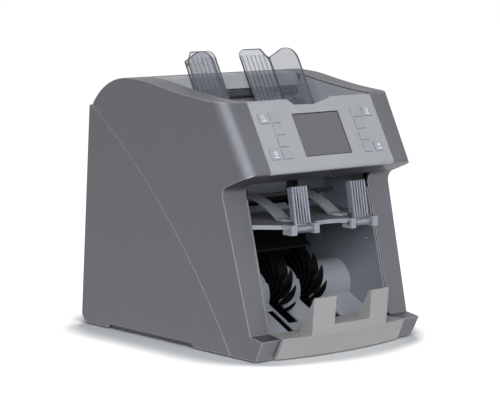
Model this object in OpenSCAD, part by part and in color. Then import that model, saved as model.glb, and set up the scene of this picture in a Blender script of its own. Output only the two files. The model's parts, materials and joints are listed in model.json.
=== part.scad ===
// Two-pocket banknote sorter for a counter top.
// Notes stand in the hopper on top, are read on the way round a drum at the back,
// and drop into the stacker pocket or the reject pocket at the front.
// The front faces -Y, +X is on the operator's right, and the floor is z = 0.

/* [Casing] */
// Width of the casing at the floor
base_w = 254; // [246:1:280]
// Outward lean of each side in degrees
side_flare = 2.4; // [0.5:0.1:4]
// Wall thickness of the moulded covers
wall = 3; // [2:0.25:3.5]
// Height of the casing's lower edge above the floor
case_lift = 2; // [1:0.5:2.5]
// Rearmost point of the casing
rear_y = 185; // [180:1:200]
// Forward lean of the back in degrees
rear_lean = 7.6; // [5:0.2:9]
// Radius of the bottom rear corner
rear_corner_r = 13; // [8:1:18]
// Radius of the arched seam between the upper and lower covers
seam_r = 836; // [700:10:1000]
// Width of the open seam
seam_gap = 0.6; // [0.4:0.1:1.2]
// Half the width of the front opening between the strips
opening_half = 99.4; // [97:0.2:103]
// How much further out than the front opening the hopper mouth reaches on each side
mouth_step = 7.6; // [6.6:0.2:12]
// Height of the arched relief along the bottom of each side
arch_h = 5; // [2:0.5:8]
// Vertical corner radius beside the control panel
corner_r = 20; // [10:1:28]

/* [Control panel] */
// Lean of the control panel from vertical in degrees
panel_tilt = 28.8; // [24:0.2:32]
// Length of the sloping panel from its top edge to the chin
panel_len = 92; // [88:0.5:96]
// Thickness of the panel plate
panel_t = 5; // [3:0.5:6]
// Width of the screen
screen_w = 75; // [60:1:90]
// Height of the screen along the slope
screen_h = 56; // [40:1:60]
// Width of a key
key_w = 15; // [10:0.5:16]
// Height of a key along the slope
key_h = 12.8; // [8:0.2:13.2]
// Pitch of the keys along the slope
key_pitch = 15.5; // [15.2:0.1:17]
// How far a key stands out of the panel
key_proud = 1.2; // [0.8:0.1:2]
// Travel of a key
key_travel = 0.8; // [0.3:0.1:1]

/* [Hopper] */
// Backward lean of the hopper guides in degrees
hopper_lean = 28; // [25:0.5:30]
// Distance from the middle to the outer face of each guide
guide_x = 70; // [62:1:78]
// Width of a guide's back plate
guide_w = 50; // [40:1:51]
// Forward depth of a guide's side flange
guide_d = 47; // [36:1:50]
// Thickness of the clear guides
guide_t = 2.5; // [2:0.5:3]
// Radius of the rail that carries the guides
rail_r = 4; // [3:0.5:4.5]

/* [Reject pocket] */
// Height of the reject shelf's top
shelf_z = 155; // [150:0.5:157]
// Thickness of the reject shelf
shelf_t = 5; // [3:0.5:6]
// Width of a note stop
stop_w = 25; // [18:1:26]
// Length of a note stop above its pin
stop_len = 50; // [35:1:54]
// Backward lean of the note stops in degrees
stop_lean = 10; // [6:1:18]
// Radius of the note stops' pins
stop_pin_r = 2.5; // [1.5:0.25:3]
// Width of a hold-down arm at its hub
arm_w = 16; // [10:1:18]

/* [Stacker pocket] */
// Radius of the stacker wheels at the vane tips
wheel_r = 45.5; // [42:0.5:47]
// Vanes on each stacker wheel
vane_count = 14; // [10:1:20]
// Thickness of a vane
vane_t = 1.6; // [1.2:0.1:2.2]
// Radius of the rounded nose behind the stack plate
nose_r = 30; // [27:0.5:33]
// Radius of the stacker shaft
stacker_shaft_r = 4; // [3:0.5:5]
// Width of a front upright
upright_w = 32; // [20:1:40]
// Height of the front uprights' tops
upright_z = 73; // [55:1:85]
// Height of the front bar's lip at its ends
bar_z = 28.5; // [26:0.5:29]
// Radius of the bow of the front bar seen from above
bar_bow_r = 435; // [380:5:600]

/* [Drive] */
// Radius of the transport drum
drum_r = 40; // [34:0.5:41]
// Radius of the roller shafts
roller_shaft_r = 3; // [2:0.5:4]
// Radial running clearance of shafts and pins
run_fit = 0.05; // [0.03:0.01:0.08]
// Gap between pieces that stand beside each other
gap = 0.3; // [0.2:0.05:0.4]

/* [Hidden] */
$fn = 64;
// Casing outline: points are [y, z] in the side view
notch_z = 284;
dome_top = [70, 320.5];
dome_r = 91;
rim_crown_r = 300;
rim_dip_r = 840;
rim_slope = 11.3;
rim_front_y = -100;
panel_top = [-105.7, 298.7];
under_slope = 21.3;
cove_r = 12;
chin_r = 4;
strip_low = [-144.8, 30.6];
strip_lean = 14.5;
foot_top = [-166.5, 27.3];
foot_under = 27.8;
seam_rear = [143.3, notch_z - 1];
seam_front = [-109.5, 0];
arch_y = [-44, 135.5];
arch_run = 9;

flare_t = tan(side_flare);
mouth_half = opening_half + mouth_step;
rear_c = [rear_y - rear_corner_r, case_lift + rear_corner_r];
dome_c = [dome_top[0], dome_top[1] - dome_r];
dome_a = asin((notch_z - dome_c[1]) / dome_r);
rim_crown_c = [dome_top[0], dome_top[1] - rim_crown_r];
rim_dip_c = rim_crown_c + (rim_crown_r + rim_dip_r) * [-sin(rim_slope), cos(rim_slope)];
rim_dip_a = -90 + asin((rim_front_y - rim_dip_c[0]) / rim_dip_r);
d_panel = [-sin(panel_tilt), -cos(panel_tilt)];
d_under = [cos(under_slope), -sin(under_slope)];
d_strip = [-sin(strip_lean), -cos(strip_lean)];
d_foot = (foot_top - strip_low) / norm(foot_top - strip_low);
d_front = [sin(foot_under), -cos(foot_under)];
d_floor = [1, 0];
chin = panel_top + panel_len * d_panel;
chin_tan = chin_r * tan((90 + panel_tilt - under_slope) / 2);
seam_half = norm(seam_rear - seam_front) / 2;
seam_dir = (seam_rear - seam_front) / (2 * seam_half);
seam_c = (seam_rear + seam_front) / 2
    + sqrt(seam_r * seam_r - seam_half * seam_half) * [seam_dir[1], -seam_dir[0]];

// Base plate and side frames
plate_z = [3, 6];
plate_y = [-140, 165];
foot_r = 9;
frame_t = 2;
frame_x = opening_half;
span_x = frame_x - gap;
drum_half = span_x - 7;
liner_t = 2.2;
pocket_x = span_x - liner_t - gap;
tie_r = 4;
ties = [[60, 258], [135, 62], [-118, 17]];

// Shaft places in the side view, [y, z]
pickup_c = [-18, 234];
feed_c = [-46, 214];
retard_c = [-71, 214];
drum_c = [48, 190];
stacker_c = [-62, 65];
gate_c = [-6, 158];
solenoid_x = [frame_x + frame_t, side_x(gate_c[1]) - wall - 9.2];
solenoid_len = solenoid_x[1] - solenoid_x[0];
arm_c = [-40, 176.5];
motor_c = [105, 95];
stacker_motor_c = [42, 44];
pickup_r = 14;
feed_r = 12;
retard_r = 11.7;
roller_w = 14;
roller_xs = [-36, 0, 36];

// Pulleys and belts: belts run in planes outside the side frames
belt_t = 1.6;
belt_w = 6;
belt_gap = 0.3;
belt_off = 2.6;
belt_plane = frame_x + frame_t + belt_off;
belt_step = belt_w + 3;
plane_a = -belt_plane;
plane_b = -belt_plane - belt_step;
plane_c = belt_plane;
motor_pulley_r = 9;
drum_pulley_r = 22;
drum_pulley_small_r = 14;
feed_pulley_r = 10;
twin_pulley_r = 8;
stacker_pulley_r = 12;
stacker_motor_pulley_r = 8;

// Hopper
guide_p = [35.5, 323.8];
guide_top = 30;
guide_flange_top = 18;
guide_flange_r = 26;
guide_low = -80;
guide_flange_low = -108;
rail_s = -26;
rail_n = -12;
tray_t = 2.6;
tray_floor = [[0.7, 252], [-52, 238]];
tray_back_top = 286;
tray_front = [[-62, 240], [-90, 298]];
bar_low_z = tray_back_top + 17;
bar_reach = bar_low_z + 30;
bar_back_y = 62;
past_back = plate_y[1] + 35;
past_top = notch_z + 46;

// Control panel in its own plane: x across, y up the slope from the chin
screen_mid = 46;
key_first = 23.9;
key_rows = 4;
key_x_out = opening_half - 15.9;
key_x_in = key_x_out - 18.1;
notch_pts = [[-35.8, 0], [-28.7, -6.7], [2.9, -7.5], [32.9, 0]];
window_t = 2.2;
window_in = 0.8;
module_t = 5.4;
board_t = 1.6;
board_w_z = -panel_t - gap - module_t;
key_flange_t = 1.2;
key_lip = 0.8;

// Reject pocket
ear_x = [[26, 33.5], [61.5, 70]];
stop_x = 47.5;
stop_pin = [-146, 150];
stop_barrel_r = 5;
stop_t = 3;
arm_x = 42;
arm_t = 2.5;
arm_hub_r = 5.5;
arm_shaft_r = 2.5;
arm_rest = 0.5;
arm_tip_r = 10;
arm_tip_len = 16;
arm_tip_w = 20;
arm_root_a = 95.2;
arm_sink = 2.4;
arm_arc_r = 130;
arm_arc_c = arm_c - (arm_arc_r - arm_sink) * [cos(arm_root_a), sin(arm_root_a)];
arm_end_a = 180 - asin((shelf_z + arm_rest + arm_tip_r - arm_arc_c[1]) / (arm_arc_r + arm_tip_r));
ceiling_z = [195, 197.5];
ceiling_rise = 8;
ceiling_back_y = -30;

// Stacker pocket
wheel_w = 15;
wheel_xs = [-29.6, 20.7];
slot_side = 1.2;
hub_r = 14;
vane_arc_r = 30;
vane_arc_off = wheel_r - vane_arc_r + 4.5;
vane_point = 6;
nose_c = [-47, 60];
nose_wall = 2.5;
nose_open = 11;
nose_a = [70, 200];
plate_slope = 26.7;
wheel_slot_y = -112;
finger_slots = [[-46, -127], [41, -114.5]];
finger_slot_w = 11;
finger_slot_top = 9;
chute_x = [-60, 32];
back_y = 6;
bar_front_y = -182;
bar_under = 12;
bar_rear_y = plate_y[0] - gap;
lip_z = 39;
lip_depth = 34;
upright_x = 44.5;
upright_lean = 4;
upright_top_d = 6;
upright_low_d = 28;

// Rear door, inlet and switch
hinge_z = 60;
hinge_c = [rear_at(hinge_z), hinge_z];
hinge_r = 3.6;
hinge_pin_r = 1.6;
door_z = [hinge_z + gap, notch_z - 1 - gap];
hinge_x = [mouth_half - 41, mouth_half - 16.7];
hinge_knuckle = 12;
latch_w = 44;
latch_h = 14;
latch_travel = 5;
latch_z = 262;
guide_drum_gap = 4;
guide_drum_a = [-30, 70];
inlet_x = 55;
service_z = 34;
inlet_cut = [27.6, 20.2];
switch_x = 10;
switch_cut = [13.6, 19.8];
rocker_half = 7.6;
rocker_w = 10.4;
rocker_pivot = 2;
rocker_pin_r = 1.2;
rocker_tilt = 8;

// Colours
dark_grey = [0.41, 0.41, 0.43];
strip_grey = [0.45, 0.47, 0.51];
light_grey = [0.66, 0.67, 0.69];
smoke = [0.55, 0.58, 0.62];
black = [0.08, 0.08, 0.09];
steel = [0.72, 0.72, 0.74];
board_green = [0.10, 0.35, 0.20];

// Points along an arc from a0 to a1, both ends included
function arc(c, r, a0, a1, n) =
    [for (i = [0:n]) let (a = a0 + (a1 - a0) * i / n) c + r * [cos(a), sin(a)]];
// The same without the first point, to follow a previous arc
function arc_on(c, r, a0, a1, n) =
    [for (i = [1:n]) let (a = a0 + (a1 - a0) * i / n) c + r * [cos(a), sin(a)]];
// Where two lines meet, each a point and a direction
function meet(p, d, q, e) = p + d * cross(q - p, e) / cross(d, e);
// Outward side of an edge that runs round the outline in direction d
function out(d) = [d[1], -d[0]];
// Corner of two edges after both have moved inward by t
function corner(p, d, q, e, t) = meet(p - t * out(d), d, q - t * out(e), e);
function side_x(z) = base_w / 2 + z * flare_t;
function rear_at(z) = rear_c[0] + rear_corner_r * cos(rear_lean)
    - (z - rear_c[1] - rear_corner_r * sin(rear_lean)) * tan(rear_lean);
function strip_at(z) = strip_low[0] + (z - strip_low[1]) * tan(strip_lean);
function floor_at(y) = tray_floor[0][1]
    + (y - tray_floor[0][0]) * (tray_floor[1][1] - tray_floor[0][1])
    / (tray_floor[1][0] - tray_floor[0][0]);
// Hopper guide plane: s runs up the lean, n stands forward of it
function on_lean(s, n) = guide_p + s * [sin(hopper_lean), cos(hopper_lean)]
    + n * [-cos(hopper_lean), sin(hopper_lean)];
function lean_y(z, n) = guide_p[0] - n / cos(hopper_lean) + (z - guide_p[1]) * tan(hopper_lean);
function flipped(pts) = [for (i = [len(pts) - 1:-1:0]) [-pts[i][0], pts[i][1]]];

// Side view of the casing, moved inward by t
function outline(t) = concat(
    [corner(foot_top, d_front, [0, case_lift], d_floor, t)],
    arc(rear_c, rear_corner_r - t, -90, rear_lean, 6),
    [[rear_at(notch_z - 1) - t / cos(rear_lean), notch_z - 1]],
    arc(dome_c, dome_r - t, dome_a, 90, 12),
    arc_on(rim_crown_c, rim_crown_r - t, 90, 90 + rim_slope, 5),
    arc_on(rim_dip_c, rim_dip_r + t, -90 + rim_slope, rim_dip_a, 6),
    [panel_top + t * [(1 - sin(panel_tilt)) / cos(panel_tilt), -1]],
    arc(corner(chin, d_panel, chin, d_under, chin_r), chin_r - t,
        180 - panel_tilt, 270 - under_slope, 4),
    arc(corner(chin, d_under, strip_low, d_strip, -cove_r), cove_r + t,
        90 - under_slope, -strip_lean, 8),
    [corner(strip_low, d_strip, strip_low, d_foot, t)],
    [corner(foot_top, d_foot, foot_top, d_front, t)]);

// Prism of a side view from x0 to x1
module side_prism(pts, x0, x1) {
    translate([x0, 0, 0]) rotate([90, 0, 90]) linear_extrude(x1 - x0) polygon(pts);
}

// Round bar along X with its axis at c = [y, z]
module rod(c, r, x0, x1) {
    translate([x0, c[0], c[1]]) rotate([0, 90, 0]) cylinder(r = r, h = x1 - x0);
}

// Part of a tube along X between two angles of the side view, from -half to half
module shell(c, r, r_in, a, half) {
    intersection() {
        difference() {
            rod(c, r, -half, half);
            rod(c, r_in, -half - 1, half + 1);
        }
        side_prism(concat([c], arc(c, 2 * r, a[0], a[1], 6)), -half, half);
    }
}

// Box from two corners
module box(a, b) {
    translate(a) cube(b - a);
}

// Everything inboard of the flared side, less t
module flank(t) {
    translate([0, 300, 0]) rotate([90, 0, 0]) linear_extrude(600)
        polygon([[-1, -1], [side_x(-1) - t, -1], [side_x(400) - t, 400], [-1, 400]]);
}

// Control panel frame: origin at the chin, y up the slope, z outward
module on_panel() {
    translate([0, chin[0], chin[1]]) rotate([90 - panel_tilt, 0, 0]) children();
}

// Rear face frame at height z: y up the face, z into the machine
module on_rear(z) {
    translate([0, rear_at(z), z]) rotate([90 + rear_lean, 0, 0]) children();
}

// Hopper frame: y up the lean, z forward of the guide plane
module on_guide() {
    translate([0, guide_p[0], guide_p[1]]) rotate([90 - hopper_lean, 0, 0]) children();
}

// What the rounded corner beside the panel takes away, for a skin moved in by t
module panel_corner(t) {
    reach = 40;
    on_panel() translate([side_x(chin[1]), 0, 0])
        rotate([0, 0, -atan(flare_t * cos(panel_tilt))]) difference() {
            translate([-corner_r, -60, -corner_r]) cube([reach, 230, reach]);
            translate([-corner_r, -61, -corner_r]) rotate([-90, 0, 0])
                cylinder(r = corner_r - t, h = 232);
        }
}

module seam_disc(r) {
    rod(seam_c, r, -200, 200, $fn = 200);
}

// Right half of the moulded skin, open at the bottom and over the hopper
module half_skin() {
    difference() {
        intersection() {
            side_prism(outline(0), opening_half, 170);
            flank(0);
        }
        difference() {
            intersection() {
                side_prism(outline(wall), opening_half - 1, 170);
                flank(wall);
            }
            panel_corner(wall);
        }
        intersection() {
            box([opening_half - 1, plate_y[0] - gap, -1],
                [170, plate_y[1] + gap, case_lift + wall + 1]);
            flank(wall);
        }
        box([opening_half - 1, rim_front_y, -1], [mouth_half, 250, 400]);
        panel_corner(0);
    }
}

module upper_cover() {
    difference() {
        half_skin();
        seam_disc(seam_r + seam_gap / 2);
    }
}

module lower_cover() {
    arch_z = case_lift + arch_h;
    difference() {
        intersection() {
            half_skin();
            seam_disc(seam_r - seam_gap / 2);
        }
        side_prism([[arch_y[0], -1], [arch_y[1], -1], [arch_y[1] - arch_run, arch_z],
            [arch_y[0] + arch_run, arch_z]], 90, 170);
    }
}

module right_side_cover() {
    color(dark_grey) upper_cover();
}

module left_side_cover() {
    color(dark_grey) mirror([1, 0, 0]) upper_cover();
}

module right_base_cover() {
    color(dark_grey) lower_cover();
}

module left_base_cover() {
    color(dark_grey) mirror([1, 0, 0]) lower_cover();
}

// Skin between the side covers, cut to a box in the side view
module middle_skin(y0, z0, y1, z1) {
    half = mouth_half - gap;
    intersection() {
        difference() {
            side_prism(outline(0), -half, half);
            side_prism(outline(wall), -half - 1, half + 1);
        }
        box([-half, y0, z0], [half, y1, z1]);
    }
}

module top_rear_cover() {
    color(dark_grey) middle_skin(bar_back_y + gap, notch_z + gap, past_back, past_top);
}

// Hinge knuckles of radius r along X, one on each side, from x0 outward over length w
module knuckles(r, x0, w) {
    for (s = [-1, 1]) rod(hinge_c, r, s > 0 ? x0 : -x0 - w, s > 0 ? x0 + w : -x0);
}

module hinge_bores(r) {
    for (s = [-1, 1])
        rod(hinge_c, r, s > 0 ? hinge_x[0] - 1 : -hinge_x[1] - 1,
            s > 0 ? hinge_x[1] + 1 : -hinge_x[0] + 1);
}

module rear_panel() {
    color(dark_grey) difference() {
        union() {
            middle_skin(plate_y[1] + gap, 0, past_back, hinge_z - gap);
            knuckles(hinge_r, hinge_x[0], hinge_knuckle);
        }
        knuckles(hinge_r + gap, hinge_x[0] + hinge_knuckle, hinge_knuckle + 2 * gap);
        hinge_bores(hinge_pin_r);
        on_rear(service_z) {
            translate([inlet_x, 0, 0]) cube([inlet_cut[0], inlet_cut[1], 20], center = true);
            translate([switch_x, 0, 0]) cube([switch_cut[0], switch_cut[1], 20], center = true);
        }
    }
}

module rear_door() {
    color(dark_grey) difference() {
        union() {
            middle_skin(rear_at(door_z[1]) - wall - 1, door_z[0], past_back, door_z[1]);
            knuckles(hinge_r, hinge_x[0] + hinge_knuckle + gap, hinge_knuckle);
        }
        knuckles(hinge_r + gap, hinge_x[0] - gap, hinge_knuckle + 2 * gap);
        hinge_bores(hinge_pin_r + run_fit);
        on_rear(latch_z) translate([-latch_w / 2 - gap, -latch_h / 2 - latch_travel - gap, -5])
            cube([latch_w + 2 * gap, latch_h + latch_travel + 2 * gap, wall + 10]);
    }
}

// Pins of the rear door and of the note stops
module hinge_pins() {
    color(steel) for (s = [-1, 1]) {
        rod(hinge_c, hinge_pin_r, s > 0 ? hinge_x[0] : -hinge_x[1], s > 0 ? hinge_x[1] : -hinge_x[0]);
        rod(stop_pin, stop_pin_r, s > 0 ? ear_x[0][0] : -ear_x[1][1], s > 0 ? ear_x[1][1] : -ear_x[0][0]);
    }
}

// Curved plate on the door that keeps notes on the drum, with three ribs
module door_note_guide() {
    inner = drum_r + guide_drum_gap;
    outer = inner + 2;
    rib = 2;
    rib_z = [drum_c[1] - 14, drum_c[1] + 26];
    color(black) {
        shell(drum_c, outer, inner, guide_drum_a, drum_half);
        for (x = [-60, 0, 60])
            difference() {
                side_prism([[drum_c[0] + 20, rib_z[0]],
                    [rear_at(rib_z[0]) - wall / cos(rear_lean) - gap, rib_z[0]],
                    [rear_at(rib_z[1]) - wall / cos(rear_lean) - gap, rib_z[1]],
                    [drum_c[0] + 20, rib_z[1]]], x - rib, x + rib);
                rod(drum_c, (inner + outer) / 2, x - 10, x + 10);
            }
    }
}

module door_latch() {
    flange = 2;
    color(black) on_rear(latch_z) {
        translate([-latch_w / 2, -latch_h / 2, -0.5]) cube([latch_w, latch_h, wall + 0.5 + gap]);
        translate([-latch_w / 2 - 4, -latch_h / 2, wall + gap])
            cube([latch_w + 8, latch_h + 14, flange]);
        for (i = [-1:1])
            translate([-latch_w / 2 + 4, i * 4 - 0.6, -1.5]) cube([latch_w - 8, 1.2, 1.2]);
    }
}

module base_plate() {
    half = side_x(plate_z[0]) - wall - gap;
    color(steel) box([-half, plate_y[0], plate_z[0]], [half, plate_y[1], plate_z[1]]);
}

module rubber_feet() {
    color(black) for (x = [27 - base_w / 2, base_w / 2 - 27], y = [-118, 145])
        translate([x, y, 0]) cylinder(r = foot_r, h = plate_z[0]);
}

// Side plate of the chassis with its shaft bores
module frame_plate() {
    front_in = wall / cos(strip_lean) + gap;
    outline_pts = [[-130, plate_z[1]], [145, plate_z[1]], [134, 235], [116, 270], [46, 270],
        [34, 262], [12, 258], [4, floor_at(2) - tray_t - 1.5], [-57, floor_at(-57) - tray_t - 1.5],
        [-90, 205], [strip_at(184) + front_in, 184], [strip_at(36) + front_in, 36]];
    difference() {
        side_prism(outline_pts, frame_x, frame_x + frame_t);
        rod(pickup_c, roller_shaft_r + run_fit, frame_x - 1, frame_x + 5);
        rod(feed_c, roller_shaft_r + run_fit, frame_x - 1, frame_x + 5);
        rod(retard_c, roller_shaft_r, frame_x - 1, frame_x + 5);
        rod(drum_c, roller_shaft_r + run_fit, frame_x - 1, frame_x + 5);
        rod(gate_c, roller_shaft_r + run_fit, frame_x - 1, frame_x + 5);
        rod(stacker_c, stacker_shaft_r + run_fit, frame_x - 1, frame_x + 5);
        rod(arm_c, arm_shaft_r, frame_x - 1, frame_x + 5);
        rod([90, 150], 14, frame_x - 1, frame_x + 5);
        children();
    }
}

module right_side_frame() {
    color(steel) frame_plate()
        rod(stacker_motor_c, roller_shaft_r + 1, frame_x - 1, frame_x + 5);
}

module left_side_frame() {
    color(steel) mirror([1, 0, 0]) frame_plate()
        rod(motor_c, roller_shaft_r + 1, frame_x - 1, frame_x + 5);
}

// Fixed steel rods: chassis ties, the hold-down arms' shaft and the hopper guides' rail
module cross_rods() {
    color(steel) {
        for (c = ties) rod(c, tie_r, -frame_x, frame_x);
        rod(arm_c, arm_shaft_r, -frame_x - frame_t, frame_x + frame_t);
        rod(on_lean(rail_s, rail_n), rail_r, -mouth_half + gap, mouth_half - gap);
    }
}

// Rectangle with round corners, centred
module round_rect(w, h, r) {
    square([w - 2 * r, h], center = true);
    square([w, h - 2 * r], center = true);
    for (x = [-1, 1], y = [-1, 1]) translate([x * (w / 2 - r), y * (h / 2 - r)]) circle(r);
}

// Middle of a key in the panel's plane: column and row from the bottom
function key_at(x, row) = [x, key_first + row * key_pitch];
key_places = concat(
    [for (s = [-1, 1], row = [0:key_rows - 1]) key_at(s * key_x_in, row)],
    [for (s = [-1, 1], row = [0, key_rows - 1]) key_at(s * key_x_out, row)]);

// Notch in the panel's top edge for the fingers, cut to a depth of d
module panel_notch(d) {
    rise = 9;
    on_panel() translate([0, panel_len, -d]) linear_extrude(d + 2)
        polygon(concat(notch_pts, [[notch_pts[3][0], rise], [notch_pts[0][0], rise]]));
}

module control_panel() {
    half = opening_half - gap;
    inward = -panel_t * out(d_panel);
    pts = concat([panel_top], arc(corner(chin, d_panel, chin, d_under, chin_r), chin_r,
        180 - panel_tilt, 270 - under_slope, 4),
        [chin - (chin_tan + panel_t) * d_panel + inward, panel_top + inward, [-99.3, 296], [-99.3, 299.2]]);
    color(light_grey) difference() {
        side_prism(pts, -half, half);
        panel_notch(20);
        on_panel() {
            translate([-screen_w / 2, screen_mid - screen_h / 2, -panel_t - 1])
                cube([screen_w, screen_h, panel_t + 2]);
            for (p = key_places)
                translate([p[0], p[1], -panel_t - 1]) linear_extrude(panel_t + 2)
                    round_rect(key_w + 2 * gap, key_h + 2 * gap, 1.2);
        }
    }
}

module display_window() {
    color([0.2, 0.2, 0.22]) on_panel()
        translate([-screen_w / 2 + gap, screen_mid - screen_h / 2 + gap, -window_in - window_t])
            cube([screen_w - 2 * gap, screen_h - 2 * gap, window_t]);
}

// Circuit board behind the keys with the display module on its face
module panel_board() {
    rim = 3;
    post_r = 3;
    half = opening_half - 5.4;
    color(steel) on_panel() {
        translate([-screen_w / 2 - rim, screen_mid - screen_h / 2 - rim, board_w_z])
            cube([screen_w + 2 * rim, screen_h + 2 * rim, module_t]);
        translate([-screen_w / 2 + rim, screen_mid - screen_h / 2 + rim, -panel_t - gap])
            cube([screen_w - 2 * rim, screen_h - 2 * rim, panel_t - window_in - window_t]);
    }
    color(board_green) on_panel() {
        translate([-half, 14, board_w_z - board_t]) cube([2 * half, panel_len - 28, board_t]);
        for (x = [4 - half, half - 4], y = [42, 50])
            translate([x, y, board_w_z]) cylinder(r = post_r, h = module_t + gap);
    }
}

// Key cap with a retaining flange behind the panel and a stem to the board
module key(p) {
    color(light_grey) on_panel() translate([p[0], p[1], 0]) {
        translate([0, 0, -panel_t - gap - key_flange_t])
            linear_extrude(key_proud + panel_t + gap + key_flange_t) round_rect(key_w, key_h, 0.9);
        translate([0, 0, -panel_t - gap - key_flange_t]) linear_extrude(key_flange_t)
            round_rect(key_w + 2 * key_lip, key_h + 2 * key_lip, 1.2);
        translate([0, 0, board_w_z + key_travel + gap])
            cylinder(r = 2.5, h = module_t - key_flange_t - key_travel - gap);
    }
}

module hopper_tray() {
    half = mouth_half - gap;
    lift = [0, -tray_t];
    back_low = tray_floor[0];
    back_top = [lean_y(tray_back_top, -guide_t - 0.5), tray_back_top];
    front_out = [-tray_t, -1];
    rail = on_lean(rail_s, rail_n);
    side_pts = [[-98.5, 296], [-67, 232], [-52, floor_at(-52) - tray_t], back_low + lift,
        [back_low[0] + tray_t, back_low[1] - 1], [rail[0] - 2, rail[1] - 9],
        [rail[0] + 9, rail[1] - 9], [rail[0] + 9, bar_low_z - gap], [26.6, bar_low_z - gap],
        [26.6, dome_top[1]], [-98.5, dome_top[1]]];
    rim_drop = 1;
    color(black) difference() {
        union() {
            side_prism([back_top, back_low, tray_floor[1], tray_floor[1] + lift,
                [back_low[0] + tray_t, back_low[1] - 1], back_top + [tray_t + 0.4, 0]], -half, half);
            side_prism([tray_front[0], tray_front[1], [-99, 298], [-99, 298 - tray_t],
                tray_front[1] + [-tray_t - 1, -tray_t], tray_front[0] + front_out], -half, half);
            for (x = [-half, half - tray_t])
                intersection() {
                    side_prism(side_pts, x, x + tray_t);
                    side_prism(outline(rim_drop), x - 1, x + tray_t + 1);
                }
        }
        for (x = roller_xs)
            box([x - roller_w / 2 - 1.5, pickup_c[0] - pickup_r - 1, 225],
                [x + roller_w / 2 + 1.5, pickup_c[0] + pickup_r - 3, 252]);
        rod(rail, rail_r, -half - 1, half + 1);
        panel_notch(30);
    }
}

module hopper_back_bar() {
    half = mouth_half - gap;
    face = -guide_t - 0.5;
    y0 = lean_y(bar_low_z, face);
    y1 = lean_y(bar_reach, face);
    color(light_grey) difference() {
        intersection() {
            side_prism(outline(0), -half, half);
            side_prism([[y0, bar_low_z], [bar_back_y, bar_low_z], [bar_back_y, bar_reach], [y1, bar_reach]],
                -half, half);
        }
        side_prism([[y0 + 5, bar_low_z - 1], [bar_back_y - wall, bar_low_z - 1],
            [bar_back_y - wall, bar_low_z + 13], [y0 + 12, bar_low_z + 11]], -half + wall, half - wall);
    }
}

// Clear L-shaped guide for the right side: ribbed back plate, outer flange, rail carriage
module guide_shape() {
    rib_n = 6;
    rib_pitch = (guide_w - 8) / rib_n;
    carriage_w = 16;
    top_r = 9;
    cut_w = 13;
    cut_h = 28;
    bulge = [-0.27 * cut_w, -0.52 * cut_h];
    x0 = guide_x - guide_w;
    on_guide() difference() {
        union() {
            translate([x0, guide_low, -guide_t]) cube([guide_w, guide_top - guide_low, guide_t]);
            for (i = [0:rib_n])
                translate([x0 + 2 + i * rib_pitch, guide_low, 0])
                    cube([1.4, guide_top - guide_low - top_r, 0.8]);
        }
        translate([x0, guide_top - top_r, -guide_t - 1]) difference() {
            translate([-1, 0, 0]) cube([top_r + 1, top_r + 1, guide_t + 3]);
            translate([top_r, 0, -1]) cylinder(r = top_r, h = guide_t + 5);
        }
        translate([guide_x, guide_top, -guide_t - 1]) linear_extrude(guide_t + 3)
            polygon([[-cut_w, 1], [1, 1], [1, -cut_h], [0, -cut_h], bulge, [-cut_w, 0]]);
    }
    r = guide_flange_r;
    flange = concat([on_lean(guide_low, -guide_t), on_lean(guide_flange_low, guide_d)],
        [for (a = [0:10:90]) on_lean(guide_flange_top - r + r * sin(a), guide_d - r + r * cos(a))],
        [on_lean(guide_flange_top, -guide_t)]);
    side_prism(flange, guide_x - guide_t, guide_x);
    rail = on_lean(rail_s, rail_n);
    difference() {
        union() {
            rod(rail, rail_r + 2.5, guide_x - carriage_w, guide_x);
            side_prism([on_lean(rail_s - 3, 1 - guide_t), on_lean(rail_s + 3, 1 - guide_t),
                on_lean(rail_s + 3, rail_n), on_lean(rail_s - 3, rail_n)],
                guide_x - carriage_w, guide_x);
        }
        rod(rail, rail_r + run_fit, guide_x - carriage_w - 1, guide_x + 1);
    }
}

module right_hopper_guide() {
    color(smoke) guide_shape();
}

module left_hopper_guide() {
    color(smoke) mirror([1, 0, 0]) guide_shape();
}

// Shaft with rubber rings at the roller places
module ring_roller(c, r, x0, x1) {
    rod(c, roller_shaft_r, x0, x1);
    for (x = roller_xs)
        difference() {
            rod(c, r, x - roller_w / 2, x + roller_w / 2);
            for (g = [-3, 3])
                difference() {
                    rod(c, r + 1, x + g - 0.6, x + g + 0.6);
                    rod(c, r - 1, x + g - 1, x + g + 1);
                }
        }
}

module pulley(c, r, x) {
    lip = 1;
    rod(c, r, x, x + belt_w + 2 * lip);
    for (e = [x, x + belt_w + lip]) rod(c, r + 2, e, e + lip);
}

module pickup_roller() {
    color(black) ring_roller(pickup_c, pickup_r, -frame_x - 4, plane_c + belt_w + 2);
    color(steel) pulley(pickup_c, twin_pulley_r, plane_c);
}

module feed_roller() {
    color(black) ring_roller(feed_c, feed_r, plane_b - belt_w, plane_c + belt_w + 2);
    color(steel) {
        pulley(feed_c, twin_pulley_r, plane_c);
        pulley(feed_c, feed_pulley_r, plane_b - belt_w - 2);
    }
}

module retard_roller() {
    color(black) ring_roller(retard_c, retard_r, -frame_x - frame_t, frame_x + frame_t);
}

module image_sensors() {
    y0 = -22;
    y1 = -6;
    color(black) {
        box([-span_x, y0, 206], [span_x, y1, 217]);
        box([-span_x, y0, 191], [span_x, y1, 202]);
    }
}

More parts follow.
